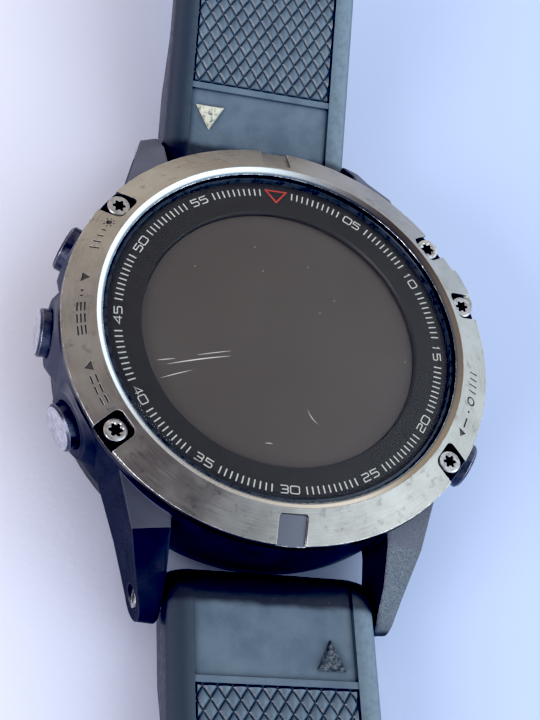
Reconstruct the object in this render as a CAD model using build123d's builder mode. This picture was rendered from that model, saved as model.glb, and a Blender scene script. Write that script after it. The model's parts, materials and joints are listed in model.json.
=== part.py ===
"""A round multisport wristwatch lying open on a table: case, bezel, glass, five sprung buttons,
the electronics inside, and two silicone straps on quick-release hooks.

Millimetres. +Z comes out of the glass, +Y points to 12 o'clock and +X to 3 o'clock. The origin is the
centre of the sensor window on the back, which stands on the table. Clock angles are degrees clockwise
from 12 o'clock.
"""

import os
from math import cos, radians, sin, sqrt

from build123d import *

# Case
case_radius = 23.3
case_bottom_radius = 22.6
case_bottom = 3.4
case_top = 12.3
cavity_radius = 19.6
cavity_top = 11.5
shelf_radius = 18.2

# Bezel
bezel_radius = 23.5
bezel_edge_height = 13.75
crest_radius = 20.13
crest_height = 15.4
bezel_bore = 19.4
bezel_bore_top = 14.95
notch_half_angle = 4.0
notch_inner_radius = 20.65
notch_depth = 0.4
guard_radius = 24.2
guard_start, guard_end = 62.0, 73.0
engraving_depth = 0.14
engraving_radius = 21.6

# Bezel screws: four at the corners and a fifth beside the start button
screw_angles = (53.6, 126.2, 233.8, 306.4, 74.0)
screw_circle = 22.0
pocket_width = 3.2
pocket_inner_radius = 20.7
pocket_floor = 13.2
screw_head_radius = 1.24
screw_head_top = 14.3
screw_shank_radius = 0.58

# Glass and dial
lens_radius = 18.9
lens_bottom = 14.0
lens_top = 14.75
dial_ring_radius = 19.3
display_window_radius = 15.12
display_radius = 15.05
display_bottom = 12.3
display_top = 13.3

# Buttons
button_angles = {"light": 295.5, "up": 270.0, "down": 244.5, "start": 64.5, "back": 115.5}
button_height = 8.4
button_face = 25.0
button_back = 23.4
button_radius = 2.55
stem_radius = 1.0
stem_end = 18.7
spring_floor = 21.3
spring_pocket_radius = 1.9
cap_floor = 22.8
boss_face = 23.75
spotface = 19.7
clip_thickness = 0.4

# Back
cover_radius = 22.5
cover_bottom = 1.8
pod_radius = 11.0
pod_bottom = 0.15
window_radius = 6.75
pressure_port = (15.3, 8.0)
back_screw_circle = 21.35
back_screw_angles = (45, 135, 225, 315)

# Lugs and lug bars
lug_inner = 11.4
lug_outer_at_case = 16.2
lug_taper = 0.279
bar_y = 26.6
bar_z = 4.7
bar_radius = 0.95
bar_half_length = 12.9

# Straps
strap_half_width = 11.0
strap_thickness = 3.4
strap_rise = 3.0
hook_front = 3.1
panel_half_width = 8.5
panel_depth = 0.4
cross_bar = 8.9
short_angle = 21.0
short_fall = 22.0
long_angle = 2.0
long_fall = 20.0
long_strap_length = 128.0
buckle_bar_height = 1.9
buckle_bar_radius = 0.9
tail_hole_pitch = 5.2
tail_hole_count = 12

os.makedirs("parts", exist_ok=True)


def save(shape, name):
    """Label a finished piece and write it as its own STEP file."""
    shape.label = name
    export_step(shape, f"parts/{name}.step")


def turned(*corners):
    """A solid of revolution about Z, from (radius, height) corners."""
    with BuildPart() as lathe:
        with BuildSketch(Plane.XZ):
            with BuildLine():
                Polyline(*corners, close=True)
            make_face()
        revolve(axis=Axis.Z)
    return lathe.part


def around(clock_angle, radius):
    """The X, Y place at a clock angle and radius."""
    turn = radians(clock_angle)
    return radius * sin(turn), radius * cos(turn)


def radial_plane(clock_angle, radius, height):
    """A plane facing outwards from the watch's axis, with its own Y axis upwards."""
    turn = radians(clock_angle)
    x, y = around(clock_angle, radius)
    return Plane(origin=(x, y, height), x_dir=(-cos(turn), sin(turn), 0), z_dir=(sin(turn), cos(turn), 0))


def rod(plane, radius, start, end):
    """A cylinder along a plane's normal, between two distances from it."""
    with BuildPart() as bar:
        with BuildSketch(plane.offset(start)):
            Circle(radius)
        extrude(amount=end - start)
    return bar.part


def lobed_recess(plane, depth):
    """The six-lobed driver recess of a small screw, cut downwards from a plane."""
    with BuildPart() as recess:
        with BuildSketch(plane):
            Circle(0.5)
            with PolarLocations(0.55, 6):
                Circle(0.17)
        extrude(amount=-depth)
    return recess.part


# ---------------------------------------------------------------- bezel

slope = (crest_height - bezel_edge_height) / (bezel_radius - crest_radius)


def bezel_slope(radius):
    """Height of the bezel's sloping top at a radius."""
    return crest_height - (radius - crest_radius) * slope


def slope_skin(depth, inner, outer):
    """The outer layer of the bezel's sloping top, as deep as a recess in it."""
    above = 1.0
    return turned(
        (inner, bezel_slope(inner) - depth),
        (outer, bezel_slope(outer) - depth),
        (outer, bezel_slope(outer) + above),
        (inner, bezel_slope(inner) + above),
    )


def icon_place(clock_angle):
    """Where an engraved mark stands: its top points to the watch's centre."""
    x, y = around(clock_angle, engraving_radius)
    return Location((x, y, 0), (0, 0, 180 - clock_angle))


def place_marks(first, last, count):
    """Evenly spaced clock angles for a row of marks."""
    return [first + (last - first) * step / (count - 1) for step in range(count)]


with BuildPart() as icons:
    # Light: a lamp disc with rays, then three bars of growing length.
    with BuildSketch(Plane.XY.offset(case_top)):
        with Locations(icon_place(299.2)):
            Circle(0.3)
            with PolarLocations(0.52, 8):
                Rectangle(0.2, 0.1)
        for step, angle in enumerate(place_marks(296.2, 289.6, 4)):
            with Locations(icon_place(angle)):
                Rectangle(0.2, 0.45 + 0.16 * step)
    extrude(amount=4)
    # Up and menu: a triangle, a dot and three menu lines.
    with BuildSketch(Plane.XY.offset(case_top)):
        with Locations(icon_place(279.5)):
            Triangle(a=1.1, b=1.0, c=1.0)
        for angle in (275.2, 273.6):
            with Locations(icon_place(angle)):
                Circle(0.13)
        for angle in (270.2, 266.6, 263.0):
            with Locations(icon_place(angle)):
                with GridLocations(1, 0.36, 1, 3):
                    Rectangle(1.05, 0.15)
    extrude(amount=4)
    # Down: a triangle pointing outwards and two bars.
    with BuildSketch(Plane.XY.offset(case_top)):
        with Locations(icon_place(252.2) * Location((0, 0, 0), (0, 0, 180))):
            Triangle(a=1.1, b=1.0, c=1.0)
        for angle in (248.4, 245.2, 242.0):
            with Locations(icon_place(angle)):
                with GridLocations(1, 0.5, 1, 2):
                    Rectangle(0.9, 0.15)
    extrude(amount=4)
    # Back and lap: an arrow, a dot and an open ring with lap marks.
    with BuildSketch(Plane.XY.offset(case_top)):
        with Locations(icon_place(116.6) * Location((0, 0, 0), (0, 0, 90))):
            Triangle(a=1.0, b=0.9, c=0.9)
        with Locations(icon_place(113.2)):
            Rectangle(1.2, 0.16)
        with Locations(icon_place(109.4)):
            Circle(0.13)
        with Locations(icon_place(105.8)):
            Circle(0.52)
            Circle(0.37, mode=Mode.SUBTRACT)
        for angle in place_marks(102.6, 96.6, 4):
            with Locations(icon_place(angle)):
                Rectangle(0.16, 0.95)
    extrude(amount=4)

with BuildPart() as bezel:
    with BuildSketch(Plane.XZ):
        with BuildLine():
            Polyline(
                (bezel_bore, case_top),
                (bezel_radius - 0.2, case_top),
                (bezel_radius, case_top + 0.2),
                (bezel_radius, bezel_edge_height),
                (crest_radius, crest_height),
                (bezel_bore, bezel_bore_top),
                close=True,
            )
        make_face()
    revolve(axis=Axis.Z)
    fillet(bezel.edges().group_by(Axis.Z)[-1], 0.1)
    # The guard beside the start button is a short swelling of the bezel's rim.
    with BuildSketch(Plane.XZ.rotated((0, 0, 90 - guard_end))):
        with BuildLine():
            Polyline(
                (bezel_radius - 1.5, case_top + 0.1),
                (guard_radius - 0.25, case_top + 0.1),
                (guard_radius, case_top + 0.35),
                (guard_radius, bezel_edge_height - 0.35),
                (bezel_radius - 0.4, bezel_slope(bezel_radius - 0.4)),
                (bezel_radius - 1.5, bezel_slope(bezel_radius - 1.5) - 0.1),
                close=True,
            )
        make_face()
    revolve(axis=Axis.Z, revolution_arc=guard_end - guard_start)
    # Screw pockets open to the rim.
    for angle in screw_angles:
        with BuildSketch(Plane.XY.offset(pocket_floor)):
            with Locations(Location((0, 0, 0), (0, 0, -angle))):
                with Locations((0, pocket_inner_radius + 2.5)):
                    RectangleRounded(pocket_width, 5.0, 0.7)
        extrude(amount=4, mode=Mode.SUBTRACT)
        with Locations((*around(angle, screw_circle), pocket_floor)):
            Cylinder(0.65, 4, mode=Mode.SUBTRACT)
    # Shallow index notches at 12 and 6 o'clock.
    notch_width = 2 * 22.0 * sin(radians(notch_half_angle))
    with BuildPart(mode=Mode.PRIVATE) as notches:
        with BuildSketch(Plane.XY.offset(bezel_edge_height - 2)):
            with Locations((0, notch_inner_radius + 2.5), (0, -notch_inner_radius - 2.5)):
                RectangleRounded(notch_width, 5.0, 0.35)
        extrude(amount=5)
        add(slope_skin(notch_depth, notch_inner_radius - 1, bezel_radius + 1), mode=Mode.INTERSECT)
    add(notches.part, mode=Mode.SUBTRACT)
    with BuildPart(mode=Mode.PRIVATE) as engraving:
        add(icons.part)
        add(slope_skin(engraving_depth, crest_radius + 0.3, bezel_radius - 0.3), mode=Mode.INTERSECT)
    add(engraving.part, mode=Mode.SUBTRACT)
save(bezel.part, "bezel")

with BuildPart() as bezel_screws:
    for angle in screw_angles:
        top = Plane(origin=(*around(angle, screw_circle), screw_head_top), z_dir=(0, 0, 1))
        with BuildSketch(top):
            Circle(screw_head_radius)
        extrude(amount=pocket_floor - screw_head_top)
        chamfer(bezel_screws.edges().group_by(Axis.Z)[-1].filter_by_position(
            Axis.X, top.origin.X - 2, top.origin.X + 2), 0.12)
        with BuildSketch(top.offset(pocket_floor - screw_head_top)):
            Circle(screw_shank_radius)
        extrude(amount=-3.6)
        add(lobed_recess(top, 0.6), mode=Mode.SUBTRACT)
save(bezel_screws.part, "bezel_screws")

with BuildPart() as bezel_gasket:
    with BuildSketch(Plane.XZ):
        with Locations((20.4, case_top - 0.3)):
            Circle(0.28)
    revolve(axis=Axis.Z)
save(bezel_gasket.part, "bezel_gasket")

# ---------------------------------------------------------------- glass, dial and display

lens = turned(
    (0, lens_bottom),
    (lens_radius, lens_bottom),
    (lens_radius, lens_top - 0.25),
    (lens_radius - 0.3, lens_top),
    (0, lens_top),
)
save(lens, "lens")

lens_gasket = turned(
    (lens_radius + 0.03, lens_bottom),
    (dial_ring_radius - 0.02, lens_bottom),
    (dial_ring_radius - 0.02, lens_top - 0.25),
    (lens_radius + 0.03, lens_top - 0.15),
)
save(lens_gasket, "lens_gasket")

dial_ring_top = lens_bottom - 0.03
dial_ring = turned(
    (display_window_radius, case_top + 0.05),
    (dial_ring_radius, case_top + 0.05),
    (dial_ring_radius, dial_ring_top),
    (display_window_radius + 0.15, dial_ring_top),
    (display_window_radius, dial_ring_top - 0.25),
)
save(dial_ring, "dial_ring")

with BuildPart() as display:
    with BuildSketch(Plane.XY.offset(display_bottom)):
        Circle(display_radius)
    extrude(amount=display_top - display_bottom)
save(display.part, "display")

with BuildPart() as display_bracket:
    with BuildSketch(Plane.XY.offset(cavity_top - 0.1)):
        Circle(shelf_radius - 0.1)
        with Locations((0, 11), (0, -11)):
            SlotOverall(14, 3.5, mode=Mode.SUBTRACT)
    extrude(amount=display_bottom - cavity_top + 0.1)
save(display_bracket.part, "display_bracket")

# ---------------------------------------------------------------- case

lug_outer_plane = Plane(
    origin=(lug_outer_at_case, 18.5, 0), x_dir=(-lug_taper, 1, 0), z_dir=(1, lug_taper, 0)
)
taper_length = sqrt(1 + lug_taper**2)


def lug_side(corners, tip_arc):
    """Closed side outline of a lug: its corners in (Y, Z), with a rounded tip after the third."""
    with BuildLine() as outline:
        Polyline(*corners[:3], tip_arc[0])
        ThreePointArc(*tip_arc)
        Polyline(tip_arc[2], *corners[3:], corners[0])
    make_face(outline.edges())


def on_taper(point):
    """A (Y, Z) point on the lug's tapering outer face, in that face's own axes."""
    return (point[0] - 18.5) * taper_length, point[1]


with BuildPart() as lug:
    with BuildSketch(Plane.YZ.offset(lug_inner)):
        lug_side(
            [(14, 3.6), (20.5, 3.6), (24.2, 2.7), (25.2, 9.6), (21.5, 11.2), (14, 12.25)],
            [(26.0, 2.15), (29.2, 4.7), (28.3, 6.6)],
        )
    outer_corners = [(14, 3.6), (20.5, 3.6), (24.2, 2.9), (26.0, 7.2), (21.7, 10.5), (14, 12.2)]
    outer_tip = [(26.0, 2.5), (28.9, 4.6), (28.2, 5.8)]
    with BuildSketch(lug_outer_plane):
        lug_side([on_taper(corner) for corner in outer_corners], [on_taper(corner) for corner in outer_tip])
    loft(ruled=True)
    fillet(lug.faces().sort_by(Axis.X)[0].edges(), 0.3)

with BuildPart() as case:
    with BuildSketch(Plane.XZ):
        with BuildLine():
            Line((cavity_radius, case_bottom), (case_bottom_radius - 0.3, case_bottom))
            Line((case_bottom_radius - 0.3, case_bottom), (case_bottom_radius, case_bottom + 0.3))
            ThreePointArc(
                (case_bottom_radius, case_bottom + 0.3),
                (case_radius - 0.15, 7.6),
                (case_radius, case_top - 1.2),
            )
            Polyline(
                (case_radius, case_top - 1.2),
                (case_radius, case_top),
                (shelf_radius, case_top),
                (shelf_radius, cavity_top),
                (cavity_radius, cavity_top),
                (cavity_radius, case_bottom),
            )
        make_face()
    revolve(axis=Axis.Z)
    add(lug.part)
    mirror(lug.part, about=Plane.XZ)
    mirror(lug.part, about=Plane.YZ)
    mirror(mirror(lug.part, about=Plane.XZ, mode=Mode.PRIVATE), about=Plane.YZ)
    for angle in button_angles.values():
        with BuildSketch(radial_plane(angle, case_radius - 1.0, button_height)):
            RectangleRounded(10.2, 7.6, 2.6)
        with BuildSketch(radial_plane(angle, boss_face, button_height)):
            RectangleRounded(7.0, 6.9, 3.0)
        loft()
    # Cavity for the electronics.
    with BuildSketch(Plane.XY.offset(case_bottom)):
        Circle(cavity_radius)
    extrude(amount=cavity_top - case_bottom, mode=Mode.SUBTRACT)
    # Button bores, from outside inwards: cap, spring, stem with its seal groove, and clip face.
    for angle in button_angles.values():
        centre = radial_plane(angle, 0, button_height)
        add(rod(centre, button_radius + 0.1, cap_floor, boss_face + 1), mode=Mode.SUBTRACT)
        add(rod(centre, spring_pocket_radius, spring_floor, cap_floor), mode=Mode.SUBTRACT)
        add(rod(centre, stem_radius + 0.06, spotface, spring_floor), mode=Mode.SUBTRACT)
        add(rod(centre, 1.5, 20.25, 20.75), mode=Mode.SUBTRACT)
        add(rod(centre, 2.2, cavity_radius - 1, spotface), mode=Mode.SUBTRACT)
    # Threaded holes for the bezel and back cover, and a groove for each gasket.
    for angle in screw_angles:
        with Locations((*around(angle, screw_circle), case_top)):
            Cylinder(0.6, 3.2, align=(Align.CENTER, Align.CENTER, Align.MAX), mode=Mode.SUBTRACT)
    for angle in back_screw_angles:
        with Locations((*around(angle, back_screw_circle), case_bottom)):
            Cylinder(0.5, 2.8, align=(Align.CENTER, Align.CENTER, Align.MIN), mode=Mode.SUBTRACT)
    for radius, height in ((20.4, case_top - 0.3), (20.2, case_bottom + 0.3)):
        with BuildSketch(Plane.XZ):
            with Locations((radius, height)):
                Rectangle(0.62, 0.6)
        revolve(axis=Axis.Z, mode=Mode.SUBTRACT)
    # Lug bar holes and the recesses of their screws.
    for side in (1, -1):
        for end in (1, -1):
            hole = Plane(origin=(0, side * bar_y, bar_z), x_dir=(0, 1, 0), z_dir=(end, 0, 0))
            add(rod(hole, bar_radius + 0.05, lug_inner - 1, bar_half_length + 0.1), mode=Mode.SUBTRACT)
            add(rod(hole, 1.25, bar_half_length + 0.1, 18), mode=Mode.SUBTRACT)
save(case.part, "case")

# ---------------------------------------------------------------- buttons

for name, angle in button_angles.items():
    centre = radial_plane(angle, 0, button_height)
    with BuildPart() as button:
        add(rod(centre, button_radius, button_back, button_face))
        chamfer(button.faces().sort_by(Axis(origin=centre.origin, direction=centre.z_dir))[-1].edges(), 0.25)
        add(rod(centre, stem_radius, 19.6, button_back))
        add(rod(centre, 0.7, 19.2, 19.6))
        add(rod(centre, stem_radius, stem_end, 19.2))
    save(button.part, f"button_{name}")

    with BuildPart() as clip:
        with BuildSketch(centre.offset(19.6)):
            Circle(1.9)
            Circle(0.74, mode=Mode.SUBTRACT)
            with Locations((0, -1.5)):
                Rectangle(1.2, 1.8, mode=Mode.SUBTRACT)
        extrude(amount=-clip_thickness + 0.02)
    save(clip.part, f"button_clip_{name}")

    spring_length = button_back - spring_floor - 0.36
    with BuildPart() as spring:
        with BuildLine() as coil:
            Helix(
                pitch=spring_length / 3,
                height=spring_length,
                radius=1.45,
                center=centre.origin + centre.z_dir * (spring_floor + 0.18),
                direction=centre.z_dir,
            )
        with BuildSketch(Plane(origin=coil.line @ 0, z_dir=coil.line % 0)):
            Circle(0.14)
        sweep()
    save(spring.part, f"button_spring_{name}")

with BuildPart() as button_seals:
    for angle in button_angles.values():
        seal_plane = radial_plane(angle, 20.5, button_height)
        with BuildSketch(Plane(origin=seal_plane.origin, x_dir=seal_plane.x_dir, z_dir=seal_plane.y_dir)):
            with Locations((1.28, 0)):
                Circle(0.21)
        revolve(axis=Axis(origin=seal_plane.origin, direction=seal_plane.z_dir))
save(button_seals.part, "button_seals")

with BuildPart() as button_switches:
    for angle in button_angles.values():
        with BuildSketch(radial_plane(angle, 16.8, 8.75)):
            Rectangle(3.0, 2.2)
        extrude(amount=1.1)
        with BuildSketch(radial_plane(angle, 17.9, button_height)):
            Circle(0.7)
        extrude(amount=0.25)
save(button_switches.part, "button_switches")

# ---------------------------------------------------------------- electronics

board_bottom = 9.9
board_top = 10.7
with BuildPart() as main_board:
    with BuildSketch(Plane.XY.offset(board_bottom)):
        Circle(18.3)
        with PolarLocations(16.8, 4, start_angle=45):
            Circle(0.8, mode=Mode.SUBTRACT)
    extrude(amount=board_top - board_bottom)
save(main_board.part, "main_board")

with BuildPart() as board_shields:
    with BuildSketch(Plane.XY.offset(board_bottom)):
        with Locations((-6, 3), (7, -4)):
            RectangleRounded(10, 11, 0.6)
    extrude(amount=-1.6)
save(board_shields.part, "board_shields")

with BuildPart() as gps_antenna:
    with BuildSketch(Plane.XZ.rotated((0, 0, 30))):
        with Locations((17.3, board_top + 0.3)):
            Rectangle(1.4, 0.6)
    revolve(axis=Axis.Z, revolution_arc=120)
save(gps_antenna.part, "gps_antenna")

frame_top = 7.0
frame_plate = 0.4
with BuildPart() as inner_frame:
    with BuildSketch(Plane.XY.offset(frame_top)):
        Circle(18.4)
        with PolarLocations(16.8, 4, start_angle=45):
            Circle(0.8, mode=Mode.SUBTRACT)
    extrude(amount=-frame_plate)
    with BuildSketch(Plane.XY.offset(frame_top - frame_plate)):
        with Locations((0, -2)):
            RectangleRounded(26.4, 21.4, 1.5)
            RectangleRounded(24.8, 19.8, 1.0, mode=Mode.SUBTRACT)
    extrude(amount=-2.6)
    with BuildSketch(Plane.XY.offset(frame_top)):
        with PolarLocations(16.8, 4, start_angle=45):
            Circle(1.3)
            Circle(0.8, mode=Mode.SUBTRACT)
    extrude(amount=board_bottom - frame_top)
save(inner_frame.part, "inner_frame")

with BuildPart() as battery:
    with BuildSketch(Plane.XY.offset(frame_top - frame_plate - 0.1)):
        with Locations((0, -2)):
            RectangleRounded(24.4, 19.4, 0.8)
    extrude(amount=-2.8)
    fillet(battery.edges().group_by(Axis.Z)[0], 0.5)
save(battery.part, "battery")

motor_y = 13.6
motor_radius = 4.0
motor_top = frame_top - frame_plate - 0.05
motor_height = 2.6
motor_wall = 0.25
with BuildPart() as motor_housing:
    with BuildSketch(Plane.XY.offset(motor_top)):
        with Locations((0, motor_y)):
            Circle(motor_radius)
    extrude(amount=-motor_height)
    with BuildSketch(Plane.XY.offset(motor_top - motor_wall)):
        with Locations((0, motor_y)):
            Circle(motor_radius - motor_wall)
    extrude(amount=-(motor_height - 2 * motor_wall), mode=Mode.SUBTRACT)
    with BuildSketch(Plane.XY.offset(motor_top - motor_height + 0.1)):
        with Locations((0, motor_y)):
            Circle(0.4)
    extrude(amount=motor_height - 0.2)
save(motor_housing.part, "motor_housing")

with BuildPart() as motor_rotor:
    with BuildSketch(Plane.XY.offset(motor_top - motor_wall - 0.3)):
        with Locations((0, motor_y)):
            Circle(motor_radius - motor_wall - 0.3)
            with Locations((0, -motor_radius)):
                Rectangle(2 * motor_radius, 2 * motor_radius, mode=Mode.SUBTRACT)
            Circle(1.3)
            Circle(0.45, mode=Mode.SUBTRACT)
    extrude(amount=-1.5)
save(motor_rotor.part, "motor_rotor")

with BuildPart() as pressure_sensor:
    with BuildSketch(Plane.XY.offset(case_bottom + 0.05)):
        with Locations((-pressure_port[0], -pressure_port[1])):
            RectangleRounded(2.4, 2.6, 0.3)
    extrude(amount=1.2)
save(pressure_sensor.part, "pressure_sensor")

# ---------------------------------------------------------------- back

with BuildPart() as back_cover:
    with BuildSketch(Plane.XZ):
        with BuildLine():
            Polyline(
                (5.8, case_bottom - 2.2),
                (7.6, case_bottom - 2.2),
                (7.6, case_bottom),
                (cover_radius, case_bottom),
                (cover_radius, cover_bottom + 0.5),
                (cover_radius - 0.5, cover_bottom),
                (pod_radius, cover_bottom),
                (pod_radius - 2.2, pod_bottom),
                (window_radius + 0.05, pod_bottom),
                (window_radius + 0.05, 0.6),
                (5.8, 0.6),
                close=True,
            )
        make_face()
    revolve(axis=Axis.Z)
    for angle in back_screw_angles:
        with Locations((*around(angle, back_screw_circle), cover_bottom)):
            Cylinder(1.0, 1.6, mode=Mode.SUBTRACT)
            Cylinder(0.5, 4, mode=Mode.SUBTRACT)
    # The charging port is a shallow recess with four contacts.
    with BuildSketch(Plane.XY.offset(cover_bottom)):
        with Locations((0, -15.4)):
            RectangleRounded(10.4, 4.6, 1.4)
    extrude(amount=0.8, mode=Mode.SUBTRACT)
    with BuildSketch(Plane.XY.offset(cover_bottom)):
        with Locations((0, -15.4)):
            with GridLocations(2.1, 1, 4, 1):
                Circle(0.5)
        with Locations((-pressure_port[0], -pressure_port[1])):
            Circle(0.6)
    extrude(amount=2, mode=Mode.SUBTRACT)
save(back_cover.part, "back_cover")

with BuildPart() as back_gasket:
    with BuildSketch(Plane.XZ):
        with Locations((20.2, case_bottom + 0.3)):
            Circle(0.28)
    revolve(axis=Axis.Z)
save(back_gasket.part, "back_gasket")

with BuildPart() as back_screws:
    for angle in back_screw_angles:
        head = Plane(origin=(*around(angle, back_screw_circle), cover_bottom + 0.1), z_dir=(0, 0, -1))
        with BuildSketch(head):
            Circle(0.95)
        extrude(amount=-0.65)
        with BuildSketch(head.offset(-0.65)):
            Circle(0.46)
        extrude(amount=-3.3)
        add(lobed_recess(head, 0.4), mode=Mode.SUBTRACT)
save(back_screws.part, "back_screws")

with BuildPart() as charge_contacts:
    with BuildSketch(Plane.XY.offset(cover_bottom + 0.35)):
        with Locations((0, -15.4)):
            with GridLocations(2.1, 1, 4, 1):
                Circle(0.45)
    extrude(amount=1.5)
save(charge_contacts.part, "charge_contacts")

with BuildPart() as sensor_window:
    with BuildSketch(Plane.XY):
        Circle(window_radius)
    extrude(amount=0.58)
    chamfer(sensor_window.edges().group_by(Axis.Z)[0], 0.1)
save(sensor_window.part, "sensor_window")

with BuildPart() as sensor_board:
    with BuildSketch(Plane.XY.offset(1.22)):
        Circle(7.4)
    extrude(amount=0.7)
save(sensor_board.part, "sensor_board")

with BuildPart() as sensor_leds:
    with BuildSketch(Plane.XY.offset(1.22)):
        Rectangle(2.6, 2.6)
        with PolarLocations(3.9, 3, start_angle=90):
            RectangleRounded(1.4, 1.4, 0.2)
    extrude(amount=-0.45)
save(sensor_leds.part, "sensor_leds")

# ---------------------------------------------------------------- lug bars

with BuildPart() as lug_bars:
    for side in (1, -1):
        bar = Plane(origin=(0, side * bar_y, bar_z), x_dir=(0, 1, 0), z_dir=(1, 0, 0))
        add(rod(bar, bar_radius, -bar_half_length, bar_half_length))
        add(rod(bar, 0.5, -bar_half_length, -bar_half_length + 2.5), mode=Mode.SUBTRACT)
        add(rod(bar, 0.5, bar_half_length - 2.5, bar_half_length), mode=Mode.SUBTRACT)
save(lug_bars.part, "lug_bars")

with BuildPart() as lug_screws:
    for side in (1, -1):
        for end in (1, -1):
            screw = Plane(origin=(0, side * bar_y, bar_z), x_dir=(0, 1, 0), z_dir=(end, 0, 0))
            add(rod(screw, 1.15, bar_half_length + 0.1, bar_half_length + 0.9))
            add(rod(screw, 0.46, bar_half_length - 2.2, bar_half_length + 0.1))
            add(lobed_recess(screw.offset(bar_half_length + 0.9), 0.5), mode=Mode.SUBTRACT)
save(lug_screws.part, "lug_screws")

# ---------------------------------------------------------------- strap ends


def strap_frame(side, angle):
    """The strap's own axes at its lug bar: Y runs along the strap, Z out of its top."""
    tilt = radians(angle)
    return Plane(
        origin=(0, side * bar_y, bar_z), x_dir=(side, 0, 0), z_dir=(0, -side * sin(tilt), cos(tilt))
    )


def side_plane(frame):
    """The side view of a strap, with the frame's Y and Z as its axes."""
    return Plane(origin=frame.origin, x_dir=frame.y_dir, z_dir=frame.x_dir)


hook_half_width = 9.0
hook_length = 6.5
hook_top = 1.8
hook_bottom = -2.3
latch_half_width = 5.0


def make_hook(frame):
    """The rigid hook moulded into a strap's end, open below so that it lifts off the bar."""
    side = side_plane(frame)
    with BuildPart() as hook:
        with BuildSketch(side):
            with Locations(((hook_length - 2.3) / 2, (hook_top + hook_bottom) / 2)):
                RectangleRounded(hook_length + 2.3, hook_top - hook_bottom, 0.4)
            Circle(bar_radius + 0.08, mode=Mode.SUBTRACT)
            with Locations((0, hook_bottom / 2)):
                Rectangle(2 * bar_radius, -hook_bottom, mode=Mode.SUBTRACT)
        extrude(amount=hook_half_width, both=True)
        # Channel for the latch plate, and the pocket behind it for its spring.
        with BuildSketch(side):
            with Locations((2.25, -1.75)):
                Rectangle(8.6, 1.1)
        extrude(amount=latch_half_width + 0.1, both=True, mode=Mode.SUBTRACT)
    return hook.part


def make_latch(frame):
    """The sliding plate that closes the hook below the bar, with a ribbed thumb pad."""
    side = side_plane(frame)
    with BuildPart() as latch:
        with BuildSketch(side):
            with Locations((0.1, -1.75)):
                Rectangle(3.0, 0.8)
            with Locations((0.6, -2.25)):
                Rectangle(0.7, 0.4)
            with Locations((1.3, -2.25)):
                Rectangle(0.3, 0.4)
        extrude(amount=latch_half_width, both=True)
    return latch.part


def make_latch_spring(frame):
    """A small coil spring that pushes the latch plate shut."""
    start = frame.origin + frame.y_dir * 1.8 - frame.z_dir * 1.75
    with BuildPart() as spring:
        with BuildLine() as coil:
            Helix(pitch=0.85, height=4.25, radius=0.34, center=start, direction=frame.y_dir)
        with BuildSketch(Plane(origin=coil.line @ 0, z_dir=coil.line % 0)):
            Circle(0.08)
        sweep()
    return spring.part


def walk(start, heading, moves, offset):
    """Edges beside a track of straights and arcs, at an offset to its right.

    A move is (length, 0) for a straight, or (turn, radius) for an arc that turns the heading by that many
    degrees, down when negative. Returns the edges and the point and heading at the end.
    """
    y, z = start
    edges = []
    for amount, radius in moves:
        turn = radians(heading)
        first = (y + offset * sin(turn), z - offset * cos(turn))
        if radius == 0:
            y, z = y + amount * cos(turn), z + amount * sin(turn)
            last = (y + offset * sin(turn), z - offset * cos(turn))
            edges.append((first, last))
            continue
        sense = 1 if amount > 0 else -1
        centre = (y - sense * radius * sin(turn), z + sense * radius * cos(turn))
        points = []
        for part in (0.5, 1.0):
            later = radians(heading + amount * part)
            reach = radius * sense
            y, z = centre[0] + reach * sin(later), centre[1] - reach * cos(later)
            points.append((y + offset * sin(later), z - offset * cos(later)))
        heading += amount
        edges.append((first, points[0], points[1]))
    return edges, (y, z), heading


def draw_edges(edges):
    """Draw the lines and arcs that walk() returns."""
    for points in edges:
        if len(points) == 2:
            Line(*points)
        else:
            ThreePointArc(*points)


def make_strap(side, angle, moves):
    """A strap's body: its side outline swept across its width, with the thick end around the bar."""
    frame = strap_frame(side, angle)
    tilt = radians(angle)
    start = (bar_y - strap_rise * sin(tilt), bar_z + strap_rise * cos(tilt))
    upper, end, heading = walk(start, angle, moves, 0)
    lower, _, _ = walk(start, angle, moves, strap_thickness)
    # The outline is drawn with distance from the watch as its first axis.
    outline = Plane(origin=(0, 0, 0), x_dir=(0, side, 0), z_dir=(side, 0, 0))
    with BuildPart() as strap:
        with BuildSketch(outline):
            with BuildLine():
                draw_edges(upper)
                draw_edges(lower)
                Line(upper[0][0], lower[0][0])
                Line(upper[-1][-1], lower[-1][-1])
            make_face()
        extrude(amount=strap_half_width, both=True)
        with BuildSketch(side_plane(frame)):
            Circle(hook_front)
            with BuildLine():
                Polyline(
                    (0, strap_rise),
                    (0, hook_bottom),
                    (8.5, hook_bottom),
                    (15, strap_rise - strap_thickness),
                    (15, strap_rise),
                    close=True,
                )
            make_face()
            with Locations((0, hook_bottom - 2)):
                Rectangle(8, 4, mode=Mode.SUBTRACT)
        extrude(amount=strap_half_width, both=True)
        # Room for the hook, and the shallow panel with its cross bar.
        with BuildSketch(side_plane(frame)):
            with Locations(((hook_length - 2.3) / 2, (hook_top + hook_bottom) / 2 - 1)):
                RectangleRounded(hook_length + 2.4, hook_top - hook_bottom + 2.1, 0.4)
        extrude(amount=hook_half_width + 0.05, both=True, mode=Mode.SUBTRACT)
        with BuildSketch(side_plane(frame)):
            Circle(bar_radius + 0.1)
            with Locations((0, hook_bottom / 2)):
                Rectangle(2 * bar_radius, 1.1 - hook_bottom)
        extrude(amount=strap_half_width, both=True, mode=Mode.SUBTRACT)
        with BuildSketch(frame.offset(strap_rise - panel_depth)):
            for first, last in ((1.0, cross_bar - 0.4), (cross_bar + 0.4, 21.5)):
                with Locations((0, (first + last) / 2)):
                    Rectangle(2 * panel_half_width, last - first)
        extrude(amount=1, mode=Mode.SUBTRACT)
    return strap.part, frame, end, heading


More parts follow.
